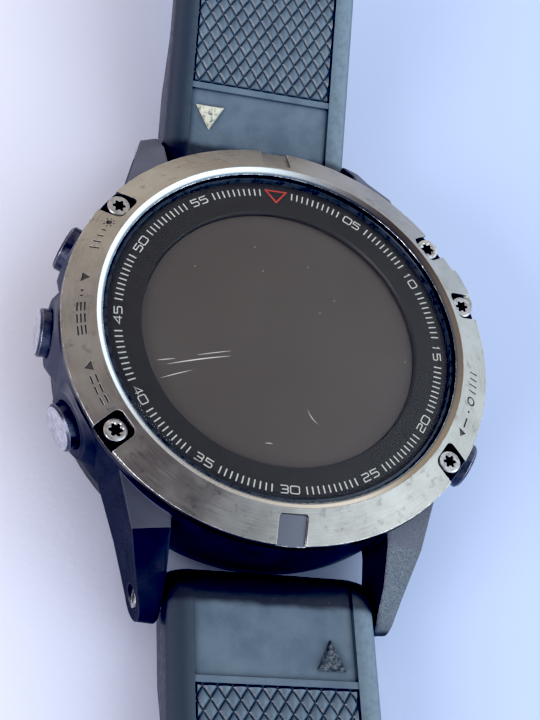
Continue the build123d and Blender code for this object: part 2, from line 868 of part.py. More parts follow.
short_arch = 30.0
arch_turn = short_angle + short_fall
first_straight = 22.0
tilt_up, tilt_down = radians(short_angle), radians(short_fall)
height_after_arch = (
    bar_z
    + strap_rise * cos(tilt_up)
    + first_straight * sin(tilt_up)
    + short_arch * (cos(tilt_down) - cos(tilt_up))
)
end_top = buckle_bar_height + strap_thickness / 2 * cos(tilt_down)
last_straight = (height_after_arch - end_top) / sin(tilt_down)
short_body, short_frame, short_end, _ = make_strap(
    1, short_angle, [(first_straight, 0), (-arch_turn, short_arch), (last_straight, 0)]
)
buckle_y = short_end[0] - strap_thickness / 2 * sin(tilt_down)
buckle_centre = Plane(origin=(0, buckle_y, buckle_bar_height), x_dir=(0, 1, 0), z_dir=(1, 0, 0))

with BuildPart() as strap_short:
    add(short_body)
    with BuildSketch(buckle_centre):
        Circle(strap_thickness / 2)
    extrude(amount=strap_half_width, both=True)
    add(rod(buckle_centre, buckle_bar_radius + 0.08, -12, 12), mode=Mode.SUBTRACT)
    with BuildSketch(Plane.XY):
        with Locations((0, buckle_y)):
            Rectangle(3.4, 9)
    extrude(amount=9, mode=Mode.SUBTRACT)
save(strap_short.part, "strap_short")

long_straight = 26.0
settle_radius = 30.0
tilt_long, tilt_settle = radians(long_angle), radians(long_fall)
height_before_arch = bar_z + strap_rise * cos(tilt_long) + long_straight * sin(tilt_long)
long_arch = (height_before_arch - strap_thickness - settle_radius * (1 - cos(tilt_settle))) / (
    cos(tilt_long) - cos(tilt_settle)
)
tail_length = (
    long_strap_length
    - long_straight
    - radians(long_angle + long_fall) * long_arch
    - tilt_settle * settle_radius
)
long_body, long_frame, long_end, _ = make_strap(
    -1,
    long_angle,
    [
        (long_straight, 0),
        (-(long_angle + long_fall), long_arch),
        (long_fall, settle_radius),
        (tail_length, 0),
    ],
)
with BuildPart() as strap_long:
    add(long_body)
    fillet(strap_long.edges().filter_by(Axis.Z).sort_by(Axis.Y)[:2], 9.5)
    with BuildSketch(Plane.XY):
        for step in range(tail_hole_count):
            with Locations((0, 13 - long_end[0] + step * tail_hole_pitch)):
                SlotOverall(3.2, 2.3, rotation=90)
    extrude(amount=2 * strap_thickness, mode=Mode.SUBTRACT)
save(strap_long.part, "strap_long")

for name, frame in (("short", short_frame), ("long", long_frame)):
    save(make_hook(frame), f"strap_hook_{name}")
    save(make_latch(frame), f"latch_{name}")
    save(make_latch_spring(frame), f"latch_spring_{name}")

# ---------------------------------------------------------------- keepers


def make_keeper(distance, length):
    """A closed loop around the short strap, at a distance from its buckle bar, with room for two straps."""
    keeper_frame = Plane(
        origin=(
            0,
            short_end[0] - distance * cos(tilt_down),
            short_end[1] + distance * sin(tilt_down),
        ),
        x_dir=(1, 0, 0),
        z_dir=(0, -cos(tilt_down), sin(tilt_down)),
    )
    inside = 2 * strap_thickness + 0.5
    with BuildPart() as keeper:
        with BuildSketch(keeper_frame):
            with Locations((0, strap_thickness + 0.25 - inside / 2)):
                RectangleRounded(2 * keeper_half_width, inside + 2 * keeper_wall, 1.6)
                RectangleRounded(2 * strap_half_width + 0.5, inside, 0.6, mode=Mode.SUBTRACT)
        extrude(amount=length)
    return keeper.part


keeper_wall = 1.3
keeper_half_width = strap_half_width + 0.25 + keeper_wall
save(make_keeper(7.0, 5.0), "keeper_fixed")
save(make_keeper(16.0, 6.0), "keeper_free")

# ---------------------------------------------------------------- buckle

arm_inner = 11.4
arm_outer = 13.3
buckle_reach = 12.6
front_bar_inner = 9.6
buckle_thickness = 2.4
with BuildPart() as buckle:
    with BuildSketch(buckle_centre):
        Circle(1.75)
        with BuildLine():
            Polyline(
                (0, -buckle_bar_height),
                (buckle_reach, -buckle_bar_height),
                (buckle_reach, buckle_thickness - buckle_bar_height),
                (5, buckle_thickness - buckle_bar_height),
                (0, 1.75),
                close=True,
            )
        make_face()
    extrude(amount=arm_outer, both=True)
    with BuildSketch(Plane.XY):
        with Locations((0, buckle_y + front_bar_inner / 2 - 5)):
            Rectangle(2 * arm_inner, front_bar_inner + 10)
    extrude(amount=6, mode=Mode.SUBTRACT)
    fillet(buckle.edges().filter_by(Axis.Z).sort_by(Axis.Y)[-2:], 2.5)
    add(rod(buckle_centre, buckle_bar_radius + 0.02, -12.8, 12.8), mode=Mode.SUBTRACT)
save(buckle.part, "buckle")

with BuildPart() as buckle_bar:
    add(rod(buckle_centre, buckle_bar_radius, -12.8, 12.8))
save(buckle_bar.part, "buckle_bar")

with BuildPart() as buckle_tongue:
    with BuildSketch(buckle_centre):
        with BuildLine():
            Line((0, 1.6), (11.6, 1.6))
            ThreePointArc((11.6, 1.6), (12.3, 1.2), (12.5, 0.62))
            Line((12.5, 0.62), (2.0, 0.62))
            Line((2.0, 0.62), (0, 0))
            Line((0, 0), (0, 1.6))
        make_face()
        Circle(1.6)
        Circle(buckle_bar_radius + 0.08, mode=Mode.SUBTRACT)
    extrude(amount=1.25, both=True)
save(buckle_tongue.part, "buckle_tongue")
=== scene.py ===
"""Looks of the sports wristwatch: materials, the printed dial, the moulded straps, light and camera.

Lengths below are in millimetres in the row's frame: +Z out of the glass, +Y to 12 o'clock, +X to
3 o'clock. Meshes are scaled to metres as they are made. Clock angles are clockwise from 12 o'clock.
"""

import json
from math import cos, hypot, pi, radians, sin

import bmesh
import bpy
from mathutils import Matrix, Vector

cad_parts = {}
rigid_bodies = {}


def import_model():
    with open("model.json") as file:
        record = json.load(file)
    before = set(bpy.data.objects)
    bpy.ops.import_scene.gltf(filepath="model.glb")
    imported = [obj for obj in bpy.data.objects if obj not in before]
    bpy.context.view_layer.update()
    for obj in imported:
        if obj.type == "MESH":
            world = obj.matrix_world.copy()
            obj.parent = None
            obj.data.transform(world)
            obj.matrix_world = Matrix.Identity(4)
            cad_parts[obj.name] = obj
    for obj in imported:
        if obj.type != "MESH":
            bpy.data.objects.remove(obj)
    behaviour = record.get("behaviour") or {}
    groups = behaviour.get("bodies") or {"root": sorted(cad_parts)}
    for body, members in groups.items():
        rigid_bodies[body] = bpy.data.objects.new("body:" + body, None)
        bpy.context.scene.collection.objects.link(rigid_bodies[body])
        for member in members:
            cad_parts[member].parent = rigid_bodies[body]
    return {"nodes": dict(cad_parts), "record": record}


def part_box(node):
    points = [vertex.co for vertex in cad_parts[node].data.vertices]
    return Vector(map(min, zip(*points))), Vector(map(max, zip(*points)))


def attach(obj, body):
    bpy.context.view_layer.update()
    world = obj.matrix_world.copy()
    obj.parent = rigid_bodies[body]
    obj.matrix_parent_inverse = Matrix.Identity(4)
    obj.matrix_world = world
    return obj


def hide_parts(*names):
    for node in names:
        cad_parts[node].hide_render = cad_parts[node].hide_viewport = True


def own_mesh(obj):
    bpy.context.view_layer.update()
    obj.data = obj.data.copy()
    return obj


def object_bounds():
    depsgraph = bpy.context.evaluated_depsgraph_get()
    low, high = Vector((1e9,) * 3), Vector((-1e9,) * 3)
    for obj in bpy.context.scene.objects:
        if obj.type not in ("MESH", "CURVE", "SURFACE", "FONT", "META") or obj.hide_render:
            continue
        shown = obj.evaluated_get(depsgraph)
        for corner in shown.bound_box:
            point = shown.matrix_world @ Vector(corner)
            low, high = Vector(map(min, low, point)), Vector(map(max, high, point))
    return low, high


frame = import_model()
cad_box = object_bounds()

MM = 0.001

# Dial
print_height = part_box("dial_ring")[1].z / MM + 0.004
print_thickness = 0.012
tick_inner, tick_outer = 17.27, 18.12
tick_width = 0.135
numeral_inner, numeral_outer = 17.18, 18.1
numeral_width = 1.0
stroke = 0.113
lens_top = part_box("lens")[1].z / MM

# Straps
bar_y, bar_z = 26.6, 4.7
strap_half = 11.0
strap_rise = 3.0
strap_thickness = 3.4
nose_radius = 3.1
nose_floor = -2.3
panel_half = 8.36
panel_front = 0.9
panel_depth = 0.38
knurl_pitch_across = 1.52
knurl_pitch_along = 2.4
knurl_height = 0.34
knurl_grid = 8
bar_centre, bar_half = 8.95, 0.36
buckle_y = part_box("buckle_bar")[0].y / MM + 0.9
buckle_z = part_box("buckle_bar")[0].z / MM + 0.9


# ---------------------------------------------------------------- meshes


def add_piece(name, body, material, vertices, faces, smooth_angle=35, bevel=None):
    """A mesh object from millimetre points, with one material, riding on a CAD body."""
    mesh = bpy.data.meshes.new(name)
    mesh.from_pydata([Vector(v) * MM for v in vertices], [], faces)
    shape = bmesh.new()
    shape.from_mesh(mesh)
    bmesh.ops.remove_doubles(shape, verts=shape.verts, dist=1e-7)
    bmesh.ops.recalc_face_normals(shape, faces=shape.faces)
    shape.to_mesh(mesh)
    shape.free()
    mesh.shade_smooth()
    mesh.set_sharp_from_angle(angle=radians(smooth_angle))
    mesh.materials.append(material)
    piece = bpy.data.objects.new(name, mesh)
    bpy.context.scene.collection.objects.link(piece)
    if bevel:
        rounding = piece.modifiers.new("rounding", "BEVEL")
        rounding.width = bevel * MM
        rounding.segments = 3
        rounding.limit_method = "ANGLE"
        rounding.angle_limit = radians(30)
    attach(piece, body)
    return piece


def around(clock_angle, radius):
    """The X, Y place at a clock angle and radius."""
    turn = radians(clock_angle)
    return radius * sin(turn), radius * cos(turn)


def prism(outline, low, high):
    """Vertices and faces of an upright prism over a closed outline of (x, y) points."""
    count = len(outline)
    vertices = [(x, y, low) for x, y in outline] + [(x, y, high) for x, y in outline]
    faces = [tuple(range(count)), tuple(range(count, 2 * count))]
    faces += [(i, (i + 1) % count, count + (i + 1) % count, count + i) for i in range(count)]
    return vertices, faces


def joined(solids):
    """One list of vertices and one of faces from several solids."""
    vertices, faces = [], []
    for points, polygons in solids:
        start = len(vertices)
        vertices += points
        faces += [tuple(start + i for i in polygon) for polygon in polygons]
    return vertices, faces


def stroked(path, width, closed=False):
    """Quads that follow a path of (x, y) points at an even width, with mitred corners."""
    points = [Vector(p) for p in path]
    count = len(points)
    sides = []
    for i, point in enumerate(points):
        before = points[i - 1] if closed or i > 0 else None
        after = points[(i + 1) % count] if closed or i < count - 1 else None
        arms = []
        if before is not None:
            arms.append((point - before).normalized())
        if after is not None:
            arms.append((after - point).normalized())
        way = sum(arms, Vector((0, 0))).normalized()
        across = Vector((-way.y, way.x))
        reach = width / 2 / max(across.dot(Vector((-arms[0].y, arms[0].x))), 0.5)
        sides.append((point + across * reach, point - across * reach))
    last = count if closed else count - 1
    return [(sides[i][0], sides[(i + 1) % count][0], sides[(i + 1) % count][1], sides[i][1]) for i in range(last)]


def printed(quads, height):
    """Thin prisms on the dial over flat quads."""
    return joined(prism([tuple(p) for p in quad], height, height + print_thickness) for quad in quads)


# ---------------------------------------------------------------- materials


class Pattern:
    """One material's nodes, with short calls for the textures that the surfaces share."""

    def __init__(self, name, colour, roughness, metallic=0.0):
        self.material = bpy.data.materials.new(name)
        self.material.use_nodes = True
        self.tree = self.material.node_tree
        self.shader = self.tree.nodes["Principled BSDF"]
        self.shader.inputs["Base Color"].default_value = (*colour, 1)
        self.shader.inputs["Roughness"].default_value = roughness
        self.shader.inputs["Metallic"].default_value = metallic
        place = self.add("ShaderNodeTexCoord").outputs["Object"]
        self.mm = self.add("ShaderNodeVectorMath", place, (1000, 1000, 1000), operation="MULTIPLY").outputs[0]

    def add(self, kind, *inputs, **settings):
        """A node with its inputs linked or set in order."""
        node = self.tree.nodes.new(kind)
        for key, value in settings.items():
            setattr(node, key, value)
        for socket, value in zip(node.inputs, inputs):
            self.put(socket, value)
        return node

    def put(self, socket, value):
        if isinstance(value, bpy.types.NodeSocket):
            self.tree.links.new(value, socket)
        elif value is not None:
            socket.default_value = value

    def math(self, operation, *values):
        return self.add("ShaderNodeMath", *values, operation=operation).outputs[0]

    def noise(self, scale, detail=3.0, roughness=0.5, vector=None):
        node = self.add("ShaderNodeTexNoise")
        self.put(node.inputs["Vector"], vector or self.mm)
        self.put(node.inputs["Scale"], scale)
        self.put(node.inputs["Detail"], detail)
        self.put(node.inputs["Roughness"], roughness)
        return node.outputs["Fac"]

    def speckle(self, scale, vector=None):
        node = self.add("ShaderNodeTexVoronoi")
        self.put(node.inputs["Vector"], vector or self.mm)
        self.put(node.inputs["Scale"], scale)
        return node.outputs["Distance"]

    def remap(self, value, low, high, to_low=0.0, to_high=1.0):
        node = self.add("ShaderNodeMapRange", value, low, high, to_low, to_high)
        node.interpolation_type = "SMOOTHSTEP"
        return node.outputs[0]

    def blend(self, factor, first, second):
        """A colour between two colours, as tuples or sockets."""
        node = self.add("ShaderNodeMix", data_type="RGBA")
        self.put(node.inputs[0], factor)
        for socket, value in ((node.inputs[6], first), (node.inputs[7], second)):
            self.put(socket, (*value, 1) if isinstance(value, tuple) else value)
        return node.outputs[2]

    def stretched(self, x, y, z, vector=None):
        return self.add("ShaderNodeVectorMath", vector or self.mm, (x, y, z), operation="MULTIPLY").outputs[0]

    def polar(self):
        """Sockets for the radius, the angle in radians and the height, in millimetres, about Z."""
        parts = self.add("ShaderNodeSeparateXYZ", self.mm).outputs
        squares = self.math("ADD", self.math("MULTIPLY", parts[0], parts[0]),
                            self.math("MULTIPLY", parts[1], parts[1]))
        return self.math("SQRT", squares), self.math("ARCTAN2", parts[0], parts[1]), parts[2]

    def vector(self, x, y, z):
        return self.add("ShaderNodeCombineXYZ", x, y, z).outputs[0]

    def worn_edges(self, reach):
        """High along convex edges and corners, zero on flats."""
        bevel = self.add("ShaderNodeBevel", reach * MM, samples=6)
        normal = self.add("ShaderNodeNewGeometry").outputs["Normal"]
        facing = self.add("ShaderNodeVectorMath", bevel.outputs[0], normal, operation="DOT_PRODUCT").outputs["Value"]
        return self.math("SUBTRACT", 1.0, facing)

    def colour(self, socket):
        self.put(self.shader.inputs["Base Color"], socket)

    def rough(self, socket):
        self.put(self.shader.inputs["Roughness"], socket)

    def bump(self, height, depth, below=None, edge=None):
        """Relief from a height of 0 to 1, as deep as given, over another relief or rounded edges."""
        node = self.add("ShaderNodeBump")
        self.put(node.inputs["Distance"], depth * MM)
        self.put(node.inputs["Height"], height)
        if edge:
            below = self.add("ShaderNodeBevel", edge * MM, samples=6).outputs[0]
        self.put(node.inputs["Normal"], below)
        self.put(self.shader.inputs["Normal"], node.outputs[0])
        return node.outputs[0]


def bezel_metal():
    """Coated steel: fine brushing round the slope, polished chamfer, dark engraving, bare nicks, painted shade in
    the screw pockets.
    """
    m = Pattern("bezel_metal", (0.36, 0.34, 0.31), 0.3, 1.0)
    radius, angle, height = m.polar()
    rings = m.noise(1.0, 4, 0.6, m.vector(m.math("MULTIPLY", radius, 14.0), m.math("MULTIPLY", angle, 7.0), 0.0))
    cross = m.noise(1.0, 3, 0.6, m.vector(m.math("MULTIPLY", radius, 1.6), m.math("MULTIPLY", angle, 160.0), 0.0))
    cloud = m.noise(0.22, 4, 0.6)
    blotch = m.noise(0.75, 5, 0.7)
    tone = m.blend(m.remap(cloud, 0.3, 0.7), (0.27, 0.25, 0.22), (0.36, 0.345, 0.315))
    tone = m.blend(m.math("MULTIPLY", m.remap(rings, 0.35, 0.75), 0.5), tone, (0.45, 0.435, 0.405))
    tone = m.blend(m.math("MULTIPLY", m.remap(blotch, 0.55, 0.7), 0.5), tone, (0.13, 0.12, 0.11))
    # The slope's height falls evenly with radius, so whatever lies below it is cut in.
    slope = m.math("SUBTRACT", 15.4, m.math("MULTIPLY", m.math("SUBTRACT", radius, 20.13), 0.4896))
    depth = m.math("SUBTRACT", slope, height)
    engraved = m.math("MULTIPLY", m.remap(depth, 0.04, 0.11), m.remap(depth, 0.17, 0.2, 1.0, 0.0))
    engraved = m.math("MULTIPLY", engraved, m.remap(radius, 20.5, 20.6))
    # Painted shade: the screw pockets, deep below the slope, are painted near black.
    pocket = m.math("MULTIPLY", m.remap(depth, 0.46, 0.6), m.remap(radius, 20.5, 20.6))
    chamfer = m.remap(radius, 20.06, 20.14, 1.0, 0.0)
    # The chamfer is bare on its outer half and tarnished towards the glass.
    brown = m.remap(m.math("SINE", angle), 0.3, 0.7)
    bare = m.blend(brown, (0.7, 0.7, 0.69), (0.27, 0.235, 0.185))
    bare = m.blend(m.remap(radius, 19.5, 19.75), (0.13, 0.16, 0.19), bare)
    tone = m.blend(chamfer, tone, bare)
    # The floor of the notch at 6 o'clock is painted darker.
    notch = m.math("MULTIPLY", m.remap(depth, 0.24, 0.32), m.remap(depth, 0.46, 0.5, 1.0, 0.0))
    notch = m.math("MULTIPLY", notch, m.remap(m.math("ABSOLUTE", angle), 1.5, 1.6))
    tone = m.blend(m.math("MULTIPLY", notch, m.remap(radius, 20.5, 20.6)), tone, (0.14, 0.14, 0.16))
    # Coating worn through along the edges, most of all outside.
    wear = m.math("MULTIPLY", m.remap(m.worn_edges(0.16), 0.012, 0.06), m.remap(m.noise(1.1, 6, 0.8), 0.48, 0.56))
    rims = m.math("MAXIMUM", m.remap(radius, 22.4, 22.8), m.remap(radius, 20.3, 20.5, 1.0, 0.0))
    wear = m.math("MULTIPLY", wear, rims)
    tone = m.blend(wear, tone, (0.92, 0.91, 0.88))
    tone = m.blend(engraved, tone, (0.1, 0.088, 0.075))
    m.colour(m.blend(pocket, tone, (0.012, 0.012, 0.014)))
    rough = m.math("ADD", m.remap(rings, 0.2, 0.8, 0.25, 0.34), m.remap(cloud, 0.3, 0.8, 0.0, 0.07))
    rough = m.math("SUBTRACT", rough, m.math("MULTIPLY", chamfer, 0.1))
    m.rough(m.math("ADD", rough, m.math("MULTIPLY", engraved, 0.3)))
    m.shader.inputs["Anisotropic"].default_value = 0.3
    scratch = m.math("ADD", m.math("MULTIPLY", rings, 0.7), m.math("MULTIPLY", cross, 0.3))
    m.bump(scratch, 0.004, edge=0.09)
    return m.material


def screw_metal():
    """Grey bezel screws with grimy flats and painted shade, near black, in the lobed recess."""
    m = Pattern("screw_metal", (0.55, 0.545, 0.53), 0.3, 1.0)
    height = m.add("ShaderNodeSeparateXYZ", m.mm).outputs[2]
    grime = m.noise(2.4, 4, 0.6)
    tone = m.blend(m.remap(grime, 0.4, 0.7), (0.52, 0.51, 0.5), (0.27, 0.265, 0.255))
    # Painted shade: all below the head's top, above all the lobed recess, is painted near black.
    m.colour(m.blend(m.remap(height, 14.05, 14.16), (0.01, 0.01, 0.012), tone))
    m.rough(m.remap(grime, 0.3, 0.8, 0.28, 0.5))
    m.bump(m.noise(3.0, 3), 0.004, edge=0.08)
    return m.material


def brushed_metal(name, colour, along, grain=9.0, roughness=0.28, depth=0.005):
    """Steel brushed along one axis, with clouded tone and rubbed edges."""
    m = Pattern(name, colour, roughness, 1.0)
    stretch = [0.4 if axis == along else grain for axis in range(3)]
    lines = m.noise(1.0, 4, 0.6, m.stretched(*stretch))
    cloud = m.noise(0.5, 3)
    lighter = tuple(min(1.0, c * 1.35 + 0.03) for c in colour)
    darker = tuple(c * 0.8 for c in colour)
    tone = m.blend(m.remap(cloud, 0.35, 0.65), darker, colour)
    tone = m.blend(m.remap(lines, 0.4, 0.8), tone, lighter)
    m.colour(m.blend(m.remap(m.worn_edges(0.12), 0.02, 0.1), tone, lighter))
    m.rough(m.remap(lines, 0.25, 0.75, roughness - 0.06, roughness + 0.1))
    m.bump(lines, depth, edge=0.07)
    return m.material


def turned_steel():
    """Bright screw steel with faint turning rings and grime down in its recesses."""
    m = Pattern("turned_steel", (0.62, 0.61, 0.6), 0.2, 1.0)
    grime = m.noise(2.4, 5, 0.7)
    m.colour(m.blend(m.remap(grime, 0.42, 0.72), (0.66, 0.65, 0.63), (0.26, 0.24, 0.22)))
    m.rough(m.remap(grime, 0.3, 0.8, 0.14, 0.42))
    m.bump(m.noise(7.0, 3), 0.004, edge=0.06)
    return m.material


def case_coating():
    """Near-black navy moulded case: fine spark-eroded grain, rubbed ridges, and painted light: a grey top on one
    lug, a paler left side and paler faces that look up.
    """
    m = Pattern("case_coating", (0.004, 0.005, 0.011), 0.55)
    grain = m.noise(6.0, 4, 0.65)
    cloud = m.noise(0.35, 3)
    facing = m.add("ShaderNodeSeparateXYZ", m.add("ShaderNodeNewGeometry").outputs["Normal"]).outputs
    tone = m.blend(m.remap(cloud, 0.3, 0.7), (0.002, 0.0025, 0.008), (0.006, 0.007, 0.017))
    # Painted light: the upward faces of the lug at 5 o'clock are painted grey through the grain, and the left side
    # of the case is painted paler, but less, as a painted reflection of the floor.
    parts = m.add("ShaderNodeSeparateXYZ", m.mm).outputs
    grey = m.math("MULTIPLY", m.remap(facing[2], 0.15, 0.5), m.remap(grain, 0.3, 0.7, 0.35, 1.0))
    grey = m.math("MULTIPLY", grey, m.remap(parts[1], -17.0, -14.0, 1.0, 0.0))
    grey = m.math("MULTIPLY", grey, m.remap(parts[0], 8.0, 10.0))
    tone = m.blend(grey, tone, (0.16, 0.185, 0.21))
    left_side_reflection = m.math("MULTIPLY", m.remap(parts[0], -20.0, -17.0, 0.7, 0.0), m.remap(parts[1], -14.0, -10.0))
    tone = m.blend(left_side_reflection, tone, (0.06, 0.063, 0.09))
    lit = m.math("MULTIPLY", m.remap(facing[2], 0.3, 0.9), m.remap(facing[1], -0.5, 0.1))
    tone = m.blend(lit, tone, (0.13, 0.135, 0.165))
    rubbed = m.math("MULTIPLY", m.remap(m.worn_edges(0.3), 0.03, 0.14), 0.25)
    m.colour(m.blend(rubbed, tone, (0.16, 0.16, 0.22)))
    m.rough(m.remap(grain, 0.3, 0.7, 0.42, 0.62))
    m.shader.inputs["Specular IOR Level"].default_value = 0.09
    m.bump(grain, 0.035, edge=0.32)
    return m.material


def button_metal():
    """Bright satin faces on dark coated caps, with rubbed rims."""
    m = Pattern("button_metal", (0.2, 0.2, 0.24), 0.3, 1.0)
    cloud = m.noise(1.3, 4, 0.6)
    fine = m.noise(11.0, 2)
    outward = m.add("ShaderNodeVectorMath", m.stretched(1.0, 1.0, 0.0), operation="NORMALIZE").outputs[0]
    normal = m.add("ShaderNodeNewGeometry").outputs["Normal"]
    facing = m.add("ShaderNodeVectorMath", outward, normal, operation="DOT_PRODUCT").outputs["Value"]
    face = m.blend(m.remap(cloud, 0.3, 0.7), (0.5, 0.5, 0.56), (0.72, 0.71, 0.76))
    side = m.blend(m.remap(cloud, 0.3, 0.7), (0.045, 0.048, 0.07), (0.09, 0.095, 0.13))
    tone = m.blend(m.remap(facing, 0.8, 0.96), side, face)
    m.colour(m.blend(m.remap(m.worn_edges(0.12), 0.02, 0.1), tone, (0.62, 0.62, 0.68)))
    m.rough(m.remap(cloud, 0.3, 0.7, 0.22, 0.36))
    m.bump(fine, 0.004, edge=0.1)
    return m.material


def crystal():
    """Clear flat glass, coated against glare, with a little dust."""
    m = Pattern("crystal", (0.01, 0.012, 0.014), 0.0)
    # The bevelled rim of the glass takes no glint.
    radius = m.polar()[0]
    m.put(m.shader.inputs["Alpha"], m.remap(radius, 18.35, 18.5, 0.09, 0.02))
    m.shader.inputs["IOR"].default_value = 2.1
    dust = m.math("MULTIPLY", m.remap(m.noise(3.0, 5, 0.75), 0.66, 0.76), 0.25)
    m.rough(m.math("ADD", 0.004, dust))
    m.bump(m.noise(0.12, 2), 0.002)
    return m.material


def dial_black():
    """Satin black dial ring, very slightly mottled."""
    m = Pattern("dial_black", (0.008, 0.008, 0.009), 0.5)
    cloud = m.noise(0.8, 4)
    m.colour(m.blend(m.remap(cloud, 0.3, 0.7), (0.021, 0.019, 0.01), (0.026, 0.024, 0.015)))
    m.rough(m.remap(cloud, 0.3, 0.7, 0.4, 0.5))
    m.shader.inputs["Specular IOR Level"].default_value = 0.3
    m.bump(cloud, 0.002)
    return m.material


def display_grey():
    """A reflective display, switched off: warm dark grey with a fine pixel grid."""
    m = Pattern("display_grey", (0.062, 0.054, 0.052), 0.35)
    parts = m.add("ShaderNodeSeparateXYZ", m.mm).outputs
    lines = [m.math("FRACT", m.math("MULTIPLY", parts[axis], 8.0)) for axis in (0, 1)]
    grid = m.math("MINIMUM", *[m.remap(line, 0.0, 0.16) for line in lines])
    cloud = m.noise(0.08, 3)
    tone = m.blend(m.remap(cloud, 0.3, 0.7), (0.084, 0.069, 0.053), (0.094, 0.078, 0.061))
    m.colour(m.blend(grid, (0.076, 0.062, 0.047), tone))
    m.rough(m.remap(cloud, 0.3, 0.7, 0.3, 0.4))
    return m.material


def gasket_ring():
    """The blue-grey ring that seats the glass."""
    m = Pattern("gasket_ring", (0.05, 0.07, 0.1), 0.3)
    cloud = m.noise(1.1, 4)
    m.colour(m.blend(m.remap(cloud, 0.35, 0.65), (0.008, 0.011, 0.016), (0.035, 0.042, 0.052)))
    m.rough(m.remap(cloud, 0.3, 0.7, 0.22, 0.4))
    m.bump(cloud, 0.01)
    return m.material


def silicone():
    """Navy silicone: glossy sides painted lighter where they face right and near black where they do not face up, a
    rubbed slate panel that is partly painted reflection, painted shade in the grooves, a painted shadow on the nose,
    greasy patches and dust.
    """
    m = Pattern("silicone", (0.012, 0.018, 0.03), 0.4)
    parts = m.add("ShaderNodeSeparateXYZ", m.mm).outputs
    cloud = m.noise(0.32, 4, 0.6)
    patch = m.noise(1.1, 5, 0.65)
    smear = m.noise(0.45, 5, 0.7, m.stretched(1.0, 0.5, 1.0))
    in_panel = m.remap(m.math("ABSOLUTE", parts[0]), panel_half, panel_half + 0.06, 1.0, 0.0)
    nose_shadow_reach = m.math("ADD", m.math("ABSOLUTE", parts[1]), m.math("MULTIPLY", cloud, 0.8))
    facing = m.add("ShaderNodeSeparateXYZ", m.add("ShaderNodeNewGeometry").outputs["Normal"]).outputs
    # Painted light: faces turned to the right are painted lighter blue, faces turned to the left dark.
    sides = m.blend(m.remap(facing[0], -0.3, 0.35), (0.02, 0.03, 0.043), (0.13, 0.185, 0.23))
    sides = m.blend(m.math("MULTIPLY", m.remap(patch, 0.4, 0.7), 0.4), sides, (0.03, 0.042, 0.056))
    # Painted shade: faces that do not look up are painted near black.
    sides = m.blend(m.remap(facing[2], 0.3, 0.8), (0.006, 0.008, 0.016), sides)
    # The panel's lighter slate is partly its rubbed texture and partly a painted reflection of the sky.
    slate = m.blend(m.remap(cloud, 0.3, 0.7), (0.075, 0.11, 0.15), (0.105, 0.148, 0.19))
    slate = m.blend(m.math("MULTIPLY", m.remap(smear, 0.5, 0.72), 0.5), slate, (0.12, 0.16, 0.2))
    tone = m.blend(in_panel, sides, slate)
    # Painted shade: grooves and hollows are painted dark by ambient occlusion.
    groove_shade_ao = m.add("ShaderNodeAmbientOcclusion", samples=6)
    m.put(groove_shade_ao.inputs["Distance"], 0.7 * MM)
    free_of_groove_shade = m.remap(groove_shade_ao.outputs["AO"], 0.5, 0.96)
    tone = m.blend(free_of_groove_shade, (0.008, 0.012, 0.02), tone)
    # Painted shadow: the nose under the case, between the lugs, is painted near black.
    tone = m.blend(m.remap(nose_shadow_reach, 27.5, 28.4), (0.003, 0.004, 0.008), tone)
    dust = m.math("MULTIPLY", m.remap(m.speckle(1.4), 0.05, 0.02), m.remap(m.noise(0.9), 0.52, 0.6))
    m.colour(m.blend(m.math("MULTIPLY", dust, 0.6), tone, (0.5, 0.52, 0.55)))
    m.rough(m.remap(patch, 0.3, 0.7, 0.46, 0.3))
    fine = m.bump(m.noise(9.0, 3), 0.006)
    m.bump(patch, 0.03, below=fine)
    return m.material


def glint_and_wear_tab():
    """The short strap's triangle, painted pale and mottled as a glint of light, with rubbed paler edges, and rough.
    """
    m = Pattern("glint_and_wear_tab", (0.5, 0.5, 0.42), 0.45)
    mottle = m.noise(1.6, 5, 0.7)
    # Painted highlight: the top is painted pale, where the long strap's like triangle is dark.
    tone = m.blend(m.remap(mottle, 0.36, 0.52), (0.06, 0.08, 0.09), (0.62, 0.62, 0.5))
    m.colour(m.blend(m.remap(m.worn_edges(0.2), 0.02, 0.1), tone, (0.75, 0.76, 0.68)))
    m.rough(m.remap(mottle, 0.3, 0.7, 0.3, 0.6))
    m.bump(mottle, 0.12, edge=0.1)
    return m.material


def rubbed_tab():
    """The long strap's triangle: dark, with a coarse rubbed top."""
    m = Pattern("rubbed_tab", (0.02, 0.028, 0.036), 0.35)
    mottle = m.noise(2.4, 6, 0.75)
    m.colour(m.blend(m.remap(mottle, 0.45, 0.62), (0.01, 0.014, 0.018), (0.12, 0.15, 0.17)))
    m.rough(m.remap(mottle, 0.3, 0.7, 0.25, 0.5))
    m.bump(mottle, 0.14, edge=0.1)
    return m.material


def moulded_plastic(name, colour, roughness=0.5, grain=5.0, depth=0.02):
    """Moulded polymer with a fine even grain and faint clouding."""
    m = Pattern(name, colour, roughness)
    cloud = m.noise(0.4, 3)
    fine = m.noise(grain, 4, 0.6)
    lighter = tuple(min(1.0, c * 1.5 + 0.008) for c in colour)
    tone = m.blend(m.remap(cloud, 0.3, 0.7), tuple(c * 0.8 for c in colour), colour)
    m.colour(m.blend(m.remap(fine, 0.55, 0.8), tone, lighter))
    m.rough(m.remap(fine, 0.3, 0.7, roughness - 0.07, roughness + 0.08))
    m.bump(fine, depth, edge=0.12)
    return m.material


def thin_metal(name, colour, roughness=0.25):
    """Foil, tin or plating, slightly crinkled and clouded."""
    m = Pattern(name, colour, roughness, 1.0)
    cloud = m.noise(0.7, 4, 0.6)
    m.colour(m.blend(m.remap(cloud, 0.3, 0.7), tuple(c * 0.8 for c in colour), colour))
    m.rough(m.remap(cloud, 0.3, 0.7, roughness - 0.08, roughness + 0.1))
    m.bump(m.noise(1.6, 4), 0.03, edge=0.06)
    return m.material


